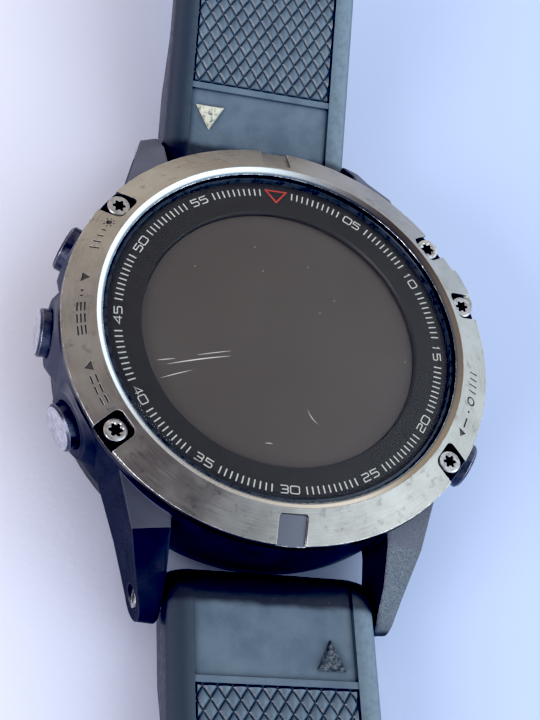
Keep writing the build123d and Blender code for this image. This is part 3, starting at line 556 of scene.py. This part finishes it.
def sensor_glass():
    """Dark red-brown optical window that lets its emitters show faintly."""
    m = Pattern("sensor_glass", (0.16, 0.07, 0.06), 0.05)
    m.shader.inputs["Transmission Weight"].default_value = 0.85
    m.shader.inputs["IOR"].default_value = 1.5
    m.rough(m.remap(m.noise(1.5, 4), 0.4, 0.8, 0.03, 0.14))
    m.bump(m.noise(0.3, 2), 0.004)
    return m.material


def circuit_board():
    """Green soldermask over a faint pattern of tracks."""
    m = Pattern("circuit_board", (0.02, 0.1, 0.05), 0.35)
    tracks = m.remap(m.speckle(0.9, m.stretched(1.0, 2.2, 1.0)), 0.28, 0.34)
    m.colour(m.blend(tracks, (0.03, 0.15, 0.07), (0.015, 0.08, 0.04)))
    m.rough(m.remap(m.noise(2.0), 0.3, 0.7, 0.28, 0.42))
    m.bump(tracks, 0.02)
    return m.material


def ink(name, colour):
    """Matt print, slightly uneven."""
    m = Pattern(name, colour, 0.55)
    fade = m.noise(5.0, 3)
    m.colour(m.blend(m.remap(fade, 0.35, 0.75), colour, tuple(c * 0.82 for c in colour)))
    m.rough(m.remap(fade, 0.3, 0.7, 0.5, 0.65))
    return m.material


finishes = {
    "gunmetal": brushed_metal("buckle_metal", (0.2, 0.19, 0.18), 0),
    "case_coating": case_coating(),
    "button_metal": button_metal(),
    "fine_steel": turned_steel(),
    "glass": crystal(),
    "dial_black": dial_black(),
    "display_grey": display_grey(),
    "silicone": silicone(),
    "strap_plastic": moulded_plastic("strap_plastic", (0.025, 0.026, 0.032)),
    "cover_plastic": moulded_plastic("cover_plastic", (0.016, 0.016, 0.019), 0.45),
    "sensor_glass": sensor_glass(),
    "seal_rubber": moulded_plastic("seal_rubber", (0.01, 0.01, 0.011), 0.6, 8.0, 0.01),
    "board_green": circuit_board(),
    "battery_foil": thin_metal("battery_foil", (0.6, 0.6, 0.62)),
    "brass_gold": thin_metal("brass_gold", (0.8, 0.58, 0.22), 0.22),
    "tin_shield": thin_metal("tin_shield", (0.62, 0.63, 0.62)),
    "led_package": moulded_plastic("led_package", (0.45, 0.6, 0.42), 0.3),
}
for part in frame["record"]["subparts"]:
    node = frame["nodes"][part["node"]]
    node.data.materials.clear()
    node.data.materials.append(finishes[part["material_slot"]])
for name, finish in (("bezel", bezel_metal()), ("bezel_screws", screw_metal()), ("lens_gasket", gasket_ring())):
    frame["nodes"][name].data.materials.clear()
    frame["nodes"][name].data.materials.append(finish)


# ---------------------------------------------------------------- printed dial

white_ink = ink("white_ink", (0.82, 0.82, 0.78))
red_ink = ink("red_ink", (0.7, 0.06, 0.03))

# Each digit is strokes in a box one wide and one high, with cut corners.
corner = 0.14
DIGITS = {
    "0": [([(corner, 0), (1 - corner, 0), (1, corner), (1, 1 - corner), (1 - corner, 1), (corner, 1),
            (0, 1 - corner), (0, corner)], True)],
    "1": [([(0.15, 0.75), (0.5, 1), (0.5, 0)], False)],
    "2": [([(0, 1), (1 - corner, 1), (1, 1 - corner), (1, 0.6), (1 - corner, 0.52), (corner, 0.5), (0, 0.42),
            (0, 0), (1, 0)], False)],
    "3": [([(0, 1), (1 - corner, 1), (1, 1 - corner), (1, 0.6), (1 - corner, 0.5)], False),
          ([(0.2, 0.5), (1 - corner, 0.5), (1, 0.4), (1, corner), (1 - corner, 0), (0, 0)], False)],
    "4": [([(0.78, 0), (0.78, 1), (0, 0.3), (1, 0.3)], False)],
    "5": [([(1, 1), (0, 1), (0, 0.58), (1 - corner, 0.58), (1, 0.58 - corner), (1, corner), (1 - corner, 0),
            (0, 0)], False)],
}


def numeral(text, clock_angle):
    """Quads of a number on the dial's rim. In the lower half it stands with its top inwards."""
    upside = 100 < clock_angle < 250
    middle = (numeral_inner + numeral_outer) / 2
    high = numeral_outer - numeral_inner - stroke
    turn = radians(clock_angle + (180 if upside else 0))
    centre = Vector(around(clock_angle, middle))
    right, up = Vector((cos(turn), -sin(turn))), Vector((sin(turn), cos(turn)))
    quads = []
    for place, digit in enumerate(text):
        wide = {"1": 0.42, "0": 0.94, "4": 0.9}.get(digit, 0.78)
        left = (place - 0.5) * (numeral_width + 0.12) - wide / 2
        for path, closed in DIGITS[digit]:
            points = [centre + right * (left + x * wide) + up * ((y - 0.5) * high) for x, y in path]
            quads += stroked(points, stroke, closed)
    return quads


def ticks():
    """Ten minute marks between each pair of numbers."""
    quads = []
    for hour in range(12):
        for step in range(10):
            angle = 30 * hour + 6 + 2 * step
            half = Vector((cos(radians(angle)), -sin(radians(angle)))) * tick_width / 2
            inner, outer = Vector(around(angle, tick_inner)), Vector(around(angle, tick_outer))
            quads.append((inner - half, outer - half, outer + half, inner + half))
    return quads


numbers = [(f"{5 * hour:02d}", 30 * hour) for hour in range(1, 12)]
marks = ticks() + [quad for text, angle in numbers for quad in numeral(text, angle)]
add_piece("dial_marks", "watch", white_ink, *printed(marks, print_height))
triangle = [around(-3.8, 18.1), around(3.8, 18.1), around(0, 16.6)]
add_piece("dial_triangle", "watch", red_ink, *printed(stroked(triangle, 0.17, True), print_height))

# Wear on the glass: a few fine scratches and specks, as thin raised lines of scattered light.
SCRATCHES = [
    ((-9.58, -4.04), (-7.77, -3.53), (-5.95, -3.13), 0.05),
    ((-12.72, -5.46), (-9.3, -4.4), (-6.07, -3.73), 0.08),
    ((-13.45, -7.12), (-11.8, -6.42), (-10.13, -5.83), 0.05),
    ((-13.76, -5.13), (-12.8, -4.9), (-11.89, -4.73), 0.05),
    ((2.12, -8.97), (2.4, -10.0), (3.12, -10.45), 0.05),
    ((-2.66, -13.16), (-2.2, -13.1), (-1.82, -13.18), 0.05),
]
SPECKS = [(-2.92, 9.89), (-9.64, 6.52), (-2.12, 7.0), (4.08, 2.7), (13.46, -2.05), (3.0, 8.2), (5.8, 4.4)]


def scratch(start, middle, end, width):
    """Quads along a gentle curve that thins out at both ends."""
    steps = 12
    points = []
    for i in range(steps + 1):
        t = i / steps
        points.append(Vector(start) * (1 - t) ** 2 + Vector(middle) * 2 * t * (1 - t) + Vector(end) * t**2)
    way = (points[-1] - points[0]).normalized()
    across = Vector((-way.y, way.x))
    reach = [width * (sin(pi * i / steps) * 0.5 + 0.08) for i in range(steps + 1)]
    return [
        (points[i] + across * reach[i], points[i + 1] + across * reach[i + 1],
         points[i + 1] - across * reach[i + 1], points[i] - across * reach[i])
        for i in range(steps)
    ]


wear_marks = [quad for line in SCRATCHES for quad in scratch(*line)]
for x, y in SPECKS:
    wear_marks.append([Vector((x + 0.05 * cos(k * pi / 3), y + 0.05 * sin(k * pi / 3))) for k in range(6)])
add_piece("glass_wear", "watch", ink("scattered_light", (0.75, 0.72, 0.7)), *printed(wear_marks, lens_top + 0.002))


# ---------------------------------------------------------------- straps


def strap_track(start, heading, moves, steps):
    """(distance along, distance out, height, heading) at each given distance along a strap's top."""
    stretches = []
    y, z = start
    travelled = 0.0
    for amount, radius in moves:
        length = abs(radians(amount)) * radius if radius else amount
        stretches.append((travelled, length, y, z, heading, amount, radius))
        travelled += length
        if radius:
            sense = 1 if amount > 0 else -1
            after = heading + amount
            y += sense * radius * (sin(radians(after)) - sin(radians(heading)))
            z -= sense * radius * (cos(radians(after)) - cos(radians(heading)))
            heading = after
        else:
            y += amount * cos(radians(heading))
            z += amount * sin(radians(heading))
    stations = []
    for distance in steps:
        begin, length, y, z, turn, amount, radius = [s for s in stretches if s[0] <= distance + 1e-9][-1]
        along = distance - begin
        if radius:
            sense = 1 if amount > 0 else -1
            after = turn + sense * along / radius * 180 / pi
            y += sense * radius * (sin(radians(after)) - sin(radians(turn)))
            z -= sense * radius * (cos(radians(after)) - cos(radians(turn)))
            turn = after
        else:
            y += along * cos(radians(turn))
            z += along * sin(radians(turn))
        stations.append((distance, y, z, turn))
    return stations, travelled


# Half of a strap's cross-section outside its panel: (across, depth below the top).
SHOULDER = [(8.42, 0.0), (9.0, 0.06), (9.6, 0.2), (10.2, 0.42), (10.7, 0.76), (10.93, 1.08), (11.0, 1.5)]
column_step = knurl_pitch_across / knurl_grid
panel_columns = [i * column_step for i in range(int(panel_half / column_step) + 1)]


def relief(across, along, knurl_end):
    """Height of the panel's floor, knurl or cross bar, relative to the strap's top."""
    if abs(along - bar_centre) < bar_half:
        return -0.08
    if along < bar_centre:
        return -panel_depth
    if along > knurl_end:
        return -panel_depth * max(0.0, 1.0 - (along - knurl_end) / 1.5)
    if along < bar_centre + bar_half + 0.15 or abs(across) > panel_half - 0.1:
        return -panel_depth
    rows = across / knurl_pitch_across + along / knurl_pitch_along
    files = across / knurl_pitch_across - along / knurl_pitch_along
    to_groove = min(abs(rows - round(rows)), abs(files - round(files)))
    rise = min(1.0, to_groove / 0.42)
    return -panel_depth + knurl_height * rise * (2 - rise)


def nose_drop(along, up):
    """How far the nose's middle lies below its round sides, at a place on the round."""
    reach = (panel_front - along) / (panel_front + nose_radius)
    middle = (strap_rise - panel_depth) * max(0.0, 1.0 - max(0.0, reach) ** 3) ** (1 / 3)
    return max(0.0, up - middle)


def volume(mesh):
    """A closed mesh's volume in cubic metres, negative when it is inside out."""
    shape = bmesh.new()
    shape.from_mesh(mesh)
    amount = shape.calc_volume(signed=True)
    shape.free()
    return amount


def cut(piece, cutters):
    """Cut closed shapes out of a piece's mesh, one after another."""
    tries = 12
    for vertices, faces in cutters:
        mesh = bpy.data.meshes.new("knife")
        mesh.from_pydata([Vector(v) * MM for v in vertices], [], faces)
        shape = bmesh.new()
        shape.from_mesh(mesh)
        bmesh.ops.recalc_face_normals(shape, faces=shape.faces)
        shape.to_mesh(mesh)
        shape.free()
        knife = bpy.data.objects.new("knife", mesh)
        bpy.context.scene.collection.objects.link(knife)
        whole, most = volume(piece.data), volume(mesh)
        # The solver now and then turns a cut inside out, so it is made again until its volume is possible.
        for _ in range(tries):
            boolean = piece.modifiers.new("cut", "BOOLEAN")
            boolean.operation = "DIFFERENCE"
            boolean.solver = "EXACT"
            boolean.object = knife
            depsgraph = bpy.context.evaluated_depsgraph_get()
            done = bpy.data.meshes.new_from_object(piece.evaluated_get(depsgraph))
            piece.modifiers.clear()
            if whole - most < volume(done) < whole:
                break
        piece.data = done
        bpy.data.objects.remove(knife)
    piece.data.set_sharp_from_angle(angle=radians(42))


def side_block(side, angle, corners, half_width):
    """A block across the strap from (along, up) corners in the strap's own axes at its bar."""
    tilt = radians(angle)
    points = []
    for across in (-half_width, half_width):
        for along, up in corners:
            out = bar_y + along * cos(tilt) - up * sin(tilt)
            points.append((across, side * out, bar_z + along * sin(tilt) + up * cos(tilt)))
    count = len(corners)
    faces = [tuple(range(count)), tuple(range(count, 2 * count))]
    faces += [(i, (i + 1) % count, count + (i + 1) % count, count + i) for i in range(count)]
    return points, faces


def make_strap(name, body, side, angle, moves, knurl_end, half_width_at, end_arc):
    """A moulded strap: nose round the lug bar, panel, cross bar, knurl, shoulders and plain back."""
    tilt = radians(angle)
    start = (bar_y - strap_rise * sin(tilt), bar_z + strap_rise * cos(tilt))
    _, total = strap_track(start, angle, moves, [])
    row_step = knurl_pitch_along / knurl_grid
    fine = [row_step * i for i in range(int(knurl_end / row_step))]
    edges = [bar_centre + sign * (bar_half + gap) for sign in (-1, 1) for gap in (-0.01, 0.05)]
    fine = sorted([step for step in fine if all(abs(step - edge) > 0.06 for edge in edges)] + edges)
    coarse_count = int((total - fine[-1]) / 0.8)
    coarse = [fine[-1] + (total - fine[-1]) * (i + 1) / coarse_count for i in range(coarse_count)]
    stations, _ = strap_track(start, angle, moves, fine + coarse)
    # Each ring: its top point, its downward direction, its thickness, and how much relief it carries.
    rings = []
    for k in range(14):
        turn = radians(227.9 - k * (227.9 - 90) / 14)
        along, up = nose_radius * cos(turn), nose_radius * sin(turn) * strap_rise / nose_radius
        low = (nose_radius * cos(radians(227.9)) * (1 - k / 14), nose_floor)
        rings.append((along, up, low[0], low[1]))
    rows = []
    for along, up, low_along, low_up in rings:
        top = (bar_y + along * cos(tilt) - up * sin(tilt), bar_z + along * sin(tilt) + up * cos(tilt))
        low = (bar_y + low_along * cos(tilt) - low_up * sin(tilt),
               bar_z + low_along * sin(tilt) + low_up * cos(tilt))
        rows.append((-nose_drop(along, up) - 1e-6, top, low))
    for distance, y, z, turn in stations:
        block = strap_rise - nose_floor
        blend = min(1.0, max(0.0, (distance - 8.5) / 6.5))
        thick = block + (strap_thickness - block) * blend
        down = (sin(radians(turn)), -cos(radians(turn)))
        rows.append((distance, (y, z), (y + down[0] * thick, z + down[1] * thick)))
    if end_arc:
        _, y, z, turn = stations[-1]
        half = strap_thickness / 2
        centre = (y + sin(radians(turn)) * half, z - cos(radians(turn)) * half)
        for k in range(1, 9):
            top_way, low_way = radians(turn + 90 - k * 10), radians(turn - 90 + k * 10)
            rows.append((total, (centre[0] + half * cos(top_way), centre[1] + half * sin(top_way)),
                         (centre[0] + half * cos(low_way), centre[1] + half * sin(low_way))))
    right = [(x, None) for x in panel_columns] + [(panel_half, None)] + SHOULDER
    vertices, faces = [], []
    for distance, top, low in rows:
        scale = half_width_at(distance, total) / strap_half
        span = hypot(low[0] - top[0], low[1] - top[1])
        down = ((low[0] - top[0]) / max(span, 1e-6), (low[1] - top[1]) / max(span, 1e-6))
        ring = []
        for x, depth in [(-x, d) for x, d in reversed(right[1:])] + right:
            if depth is None:
                drop = -relief(x, distance, knurl_end) if distance >= 0 else -distance
            else:
                drop = depth
            drop = min(drop, 0.45 * span)
            ring.append((x * scale, top[0] + down[0] * drop, top[1] + down[1] * drop))
        for x, rise in ((strap_half, 0.5), (strap_half - 0.15, 0.15), (strap_half - 0.5, 0.0)):
            lift = min(rise, 0.3 * span)
            ring.append((x * scale, low[0] - down[0] * lift, low[1] - down[1] * lift))
        for x in (5.0, 0.0, -5.0):
            ring.append((x * scale, low[0], low[1]))
        for x, rise in ((strap_half - 0.5, 0.0), (strap_half - 0.15, 0.15), (strap_half, 0.5)):
            lift = min(rise, 0.3 * span)
            ring.append((-x * scale, low[0] - down[0] * lift, low[1] - down[1] * lift))
        vertices += [(x, side * y, z) for x, y, z in ring]
    count = len(vertices) // len(rows)
    for row in range(len(rows) - 1):
        for i in range(count):
            a, b = row * count + i, row * count + (i + 1) % count
            # Each quad folds along its lower diagonal, so that the knurl's grooves stay straight.
            first, second = vertices[a][2] + vertices[b + count][2], vertices[b][2] + vertices[a + count][2]
            if first < second:
                faces += [(a, b, b + count), (a, b + count, a + count)]
            else:
                faces += [(a, b, a + count), (b, b + count, a + count)]
    faces.append(tuple(range(count)))
    faces.append(tuple((len(rows) - 1) * count + i for i in range(count)))
    piece = add_piece(name, body, finishes["silicone"], vertices, faces, 42)
    pocket = [(-2.45, 1.85), (6.65, 1.85), (6.65, -4), (-2.45, -4)]
    slot_way = [(-1.05, 1.05), (1.05, 1.05), (1.05, -4), (-1.05, -4)]
    return piece, total, [side_block(side, angle, pocket, 9.05), side_block(side, angle, slot_way, 12)]


def triangle_tab(name, body, finish, side, angle, tip, base_left, base_right):
    """A raised triangle in the panel: three (across, along) corners, sides sloping in to a flat top."""
    tilt = radians(angle)
    flat = [Vector(tip), Vector(base_left), Vector(base_right)]
    middle = sum(flat, Vector((0, 0))) / 3
    points = []
    for inset, height in ((1.14, -0.45), (1.06, -0.2), (0.9, 0.04), (0.82, 0.07)):
        for flat_corner in flat:
            across, along = middle + (flat_corner - middle) * inset
            up = strap_rise + height
            out = bar_y + along * cos(tilt) - up * sin(tilt)
            points.append((across, side * out, bar_z + along * sin(tilt) + up * cos(tilt)))
    faces = [(0, 1, 2), (9, 10, 11)]
    for level in range(3):
        for i in range(3):
            a, b = 3 * level + i, 3 * level + (i + 1) % 3
            faces.append((a, b, b + 3, a + 3))
    return add_piece(name, body, finish, points, faces, 25, bevel=0.12)


def straight_width(distance, total):
    return strap_half


def tapered_tip(distance, total):
    """Half width of the tail: full, then rounded off over its last stretch."""
    reach = 9.5
    inward = max(0.0, distance - (total - reach))
    return strap_half - reach + (max(reach**2 - inward**2, 0.0)) ** 0.5


# The last straight of the short strap ends at the buckle's bar.
rise_start = bar_z + strap_rise * cos(radians(21))
arch_end = rise_start + 22 * sin(radians(21)) + 30 * (cos(radians(22)) - cos(radians(21)))
end_height = buckle_z + strap_thickness / 2 * cos(radians(22))
short_moves = [(22.0, 0), (-43.0, 30.0), ((arch_end - end_height) / sin(radians(22)), 0)]
strap_short, short_total, short_cuts = make_strap(
    "strap_short_moulded", "strap_short", 1, 21.0, short_moves, 58.0, straight_width, True
)
tongue_slot = prism([(-1.7, buckle_y - 4.5), (1.7, buckle_y - 4.5), (1.7, buckle_y + 4.5), (-1.7, buckle_y + 4.5)],
                    -1.0, 9.0)
cut(strap_short, short_cuts + [tongue_slot])
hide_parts("strap_short")

settle_radius = 30.0
before_arch = bar_z + strap_rise * cos(radians(2)) + 26 * sin(radians(2))
long_arch = (before_arch - strap_thickness - settle_radius * (1 - cos(radians(20)))) / (
    cos(radians(2)) - cos(radians(20))
)
tail = 128.0 - 26.0 - radians(22) * long_arch - radians(20) * settle_radius
long_moves = [(26.0, 0), (-22.0, long_arch), (20.0, settle_radius), (tail, 0)]
strap_long, long_total, long_cuts = make_strap(
    "strap_long_moulded", "strap_long", -1, 2.0, long_moves, 56.0, tapered_tip, False
)
tail_end = -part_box("strap_long")[0].y / MM
holes = []
for step in range(12):
    centre_y = 13 - tail_end + 5.2 * step
    outline = []
    for k in range(20):
        turn = 2 * pi * k / 20
        outline.append((1.15 * cos(turn), centre_y + 1.15 * sin(turn) + (0.45 if sin(turn) >= 0 else -0.45)))
    holes.append(prism(outline, -2.0, 6.0))
cut(strap_long, long_cuts + [joined(holes)])
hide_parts("strap_long")

for tab in (
    triangle_tab("tab_long", "strap_long", rubbed_tab(), -1, 2.0, (5.8, 4.5), (4.4, 7.4), (7.2, 7.4)),
    triangle_tab("tab_short", "strap_short", glint_and_wear_tab(), 1, 21.0, (-6.0, 4.0), (-7.6, 6.6), (-4.5, 6.6)),
):
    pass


def make_keeper(name, node, body):
    """A soft loop whose walls swell slightly between rounded rims, along its CAD solid."""
    low, high = (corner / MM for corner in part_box(node))
    tilt = radians(22)
    way, up = Vector((0, -cos(tilt), sin(tilt))), Vector((0, sin(tilt), cos(tilt)))
    middle = (low + high) / 2
    inside_x, inside_z = strap_half + 0.25, strap_thickness + 0.25
    wall = 1.3
    height = 2 * (inside_z + wall)
    length = ((high.z - low.z) - height * cos(tilt)) / sin(tilt)
    # Across the wall: (distance along the strap from -1 to 1, wall position from 0 inside to 1 outside).
    section = [(-0.8, 0), (-1, 0.3), (-1, 0.7), (-0.8, 0.93), (-0.4, 1), (0.4, 1), (0.8, 0.93), (1, 0.7), (1, 0.3),
               (0.8, 0)]
    corners = []
    for quarter, (sx, sz) in enumerate(((1, 1), (-1, 1), (-1, -1), (1, -1))):
        for k in range(7):
            turn = pi / 2 * (quarter + k / 6)
            corners.append((sx, sz, cos(turn), sin(turn)))
    vertices, faces = [], []
    for sx, sz, out_x, out_z in corners:
        for along, depth in section:
            radius = 0.6 + depth * 1.0
            reach_x = inside_x - 0.6 + depth * (wall - 1.0)
            reach_z = inside_z - 0.6 + depth * (wall - 1.0)
            x, z = sx * reach_x + out_x * radius, sz * reach_z + out_z * radius
            vertices.append(middle + Vector((x, 0, 0)) + up * z + way * (along * length / 2))
    ring = len(section)
    for i in range(len(corners)):
        for k in range(ring):
            a, b = i * ring + k, i * ring + (k + 1) % ring
            c = (i + 1) % len(corners) * ring
            faces.append((a, b, c + (k + 1) % ring, c + k))
    piece = add_piece(name, body, finishes["silicone"], vertices, faces, 50)
    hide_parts(node)


make_keeper("keeper_fixed_moulded", "keeper_fixed", "strap_short")
make_keeper("keeper_free_moulded", "keeper_free", "keeper_free")


# ---------------------------------------------------------------- springs


def coil(joint, node_name):
    """A copy of a spring's coil that rides on its joint's parent body in place of the CAD node."""
    node = frame["nodes"][node_name]
    piece = bpy.data.objects.new(f"{node_name}_coil", node.data.copy())
    bpy.context.scene.collection.objects.link(piece)
    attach(piece, joint["parent"])
    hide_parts(node_name)
    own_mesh(piece)


for joint in frame["record"]["behaviour"]["joints"]:
    for sprung in joint.get("deforming_nodes", []):
        coil(joint, sprung["node"])


# ---------------------------------------------------------------- floor, light and camera


def floor():
    """A pale table top, painted paler and warmer to the left and bluer to the right."""
    m = Pattern("floor_paper", (0.6, 0.62, 0.8), 0.7)
    parts = m.add("ShaderNodeSeparateXYZ", m.mm).outputs
    cloud = m.noise(0.01, 3)
    # Painted light: paler and warmer to the left, against the watch's shade, and bluer to the right, as by the
    # window's light.
    side = m.remap(m.math("ADD", parts[0], m.math("MULTIPLY", cloud, 30.0)), -45.0, 55.0)
    m.colour(m.blend(side, (0.84, 0.825, 0.92), (0.55, 0.655, 0.93)))
    m.bump(m.noise(1.2, 4), 0.02)
    size = 3.0
    mesh = bpy.data.meshes.new("floor")
    level = cad_box[0][2]
    mesh.from_pydata([(-size, -size, level), (size, -size, level), (size, size, level), (-size, size, level)],
                     [], [(0, 1, 2, 3)])
    mesh.materials.append(m.material)
    ground = bpy.data.objects.new("floor", mesh)
    bpy.context.scene.collection.objects.link(ground)


def lamp(name, place, target, size, watts, colour):
    """A soft area light aimed at a point."""
    data = bpy.data.lights.new(name, "AREA")
    data.shape = "RECTANGLE"
    data.size, data.size_y = size
    data.energy = watts
    data.color = colour
    light = bpy.data.objects.new(name, data)
    light.location = Vector(place)
    light.rotation_euler = (Vector(target) - Vector(place)).to_track_quat("-Z", "Y").to_euler()
    bpy.context.scene.collection.objects.link(light)


def sky():
    """A dim room with a broad pale window to the right, a warm far wall and someone's shade in front."""
    world = bpy.data.worlds.new("surround")
    world.use_nodes = True
    tree = world.node_tree
    background = tree.nodes["Background"]
    coords = tree.nodes.new("ShaderNodeTexCoord")

    def towards(direction, low, high, to_low, to_high):
        """A smooth change with the angle from a direction."""
        turn = tree.nodes.new("ShaderNodeVectorMath")
        turn.operation = "DOT_PRODUCT"
        turn.inputs[1].default_value = direction
        tree.links.new(coords.outputs["Generated"], turn.inputs[0])
        change = tree.nodes.new("ShaderNodeMapRange")
        change.interpolation_type = "SMOOTHSTEP"
        for socket, value in zip(change.inputs[1:5], (low, high, to_low, to_high)):
            socket.default_value = value
        tree.links.new(turn.outputs["Value"], change.inputs[0])
        return change.outputs[0]

    def mixed(kind, factor, first, second):
        node = tree.nodes.new("ShaderNodeMix")
        node.data_type = "RGBA"
        node.blend_type = kind
        tree.links.new(factor, node.inputs[0])
        for socket, value in ((node.inputs[6], first), (node.inputs[7], second)):
            if isinstance(value, tuple):
                socket.default_value = value
            else:
                tree.links.new(value, socket)
        return node.outputs[2]

    window = towards((0.92, -0.36, 0.1), 0.14, 0.48, 0.0, 1.0)
    light = mixed("MIX", window, (0.62, 0.57, 0.55, 1), (1.5, 1.74, 1.95, 1))
    light = mixed("ADD", towards((-0.1, 0.99, 0.1), 0.6, 0.98, 0.0, 1.0), light, (0.5, 0.46, 0.36, 1))
    light = mixed("MULTIPLY", towards((-0.3, -0.45, 0.84), 0.72, 0.96, 0.0, 1.0), light, (0.3, 0.3, 0.33, 1))
    tree.links.new(light, background.inputs["Color"])
    bpy.context.scene.world = world


def camera():
    """The camera stands to the left of 6 o'clock, high up and near, turned about its own axis."""
    azimuth, elevation, roll = radians(-31.75), radians(57.16), radians(33.95)
    distance, target = 151.33, Vector((-1.609, -3.419, 14.3))
    forward = Vector((-sin(azimuth) * cos(elevation), cos(azimuth) * cos(elevation), -sin(elevation)))
    data = bpy.data.cameras.new("camera")
    data.lens = 72.91
    data.sensor_width = 36
    data.clip_start = 0.005
    data.clip_end = 20
    viewer = bpy.data.objects.new("camera", data)
    level_right = forward.cross(Vector((0, 0, 1))).normalized()
    level_up = level_right.cross(forward)
    right = level_right * cos(roll) + level_up * sin(roll)
    up = right.cross(forward)
    viewer.matrix_world = Matrix.Translation((target - forward * distance) * MM) @ Matrix(
        (right, up, -forward)
    ).transposed().to_4x4()
    bpy.context.scene.collection.objects.link(viewer)
    bpy.context.scene.camera = viewer


floor()
sky()
lamp("window", (0.7, -0.4, 0.25), (0, 0, 0.01), (0.5, 0.5), 2.0, (0.86, 0.93, 1.0))
lamp("fill", (-0.78, -0.5, 0.36), (-0.03, 0, 0.01), (0.6, 0.6), 9.0, (0.97, 0.95, 1.0))
camera()
view = bpy.context.scene.view_settings
view.view_transform = "Standard"
# Deep shade falls to navy.
view.use_curve_mapping = True
view.curve_mapping.black_level = (0.02, 0.018, 0.006)
view.curve_mapping.update()
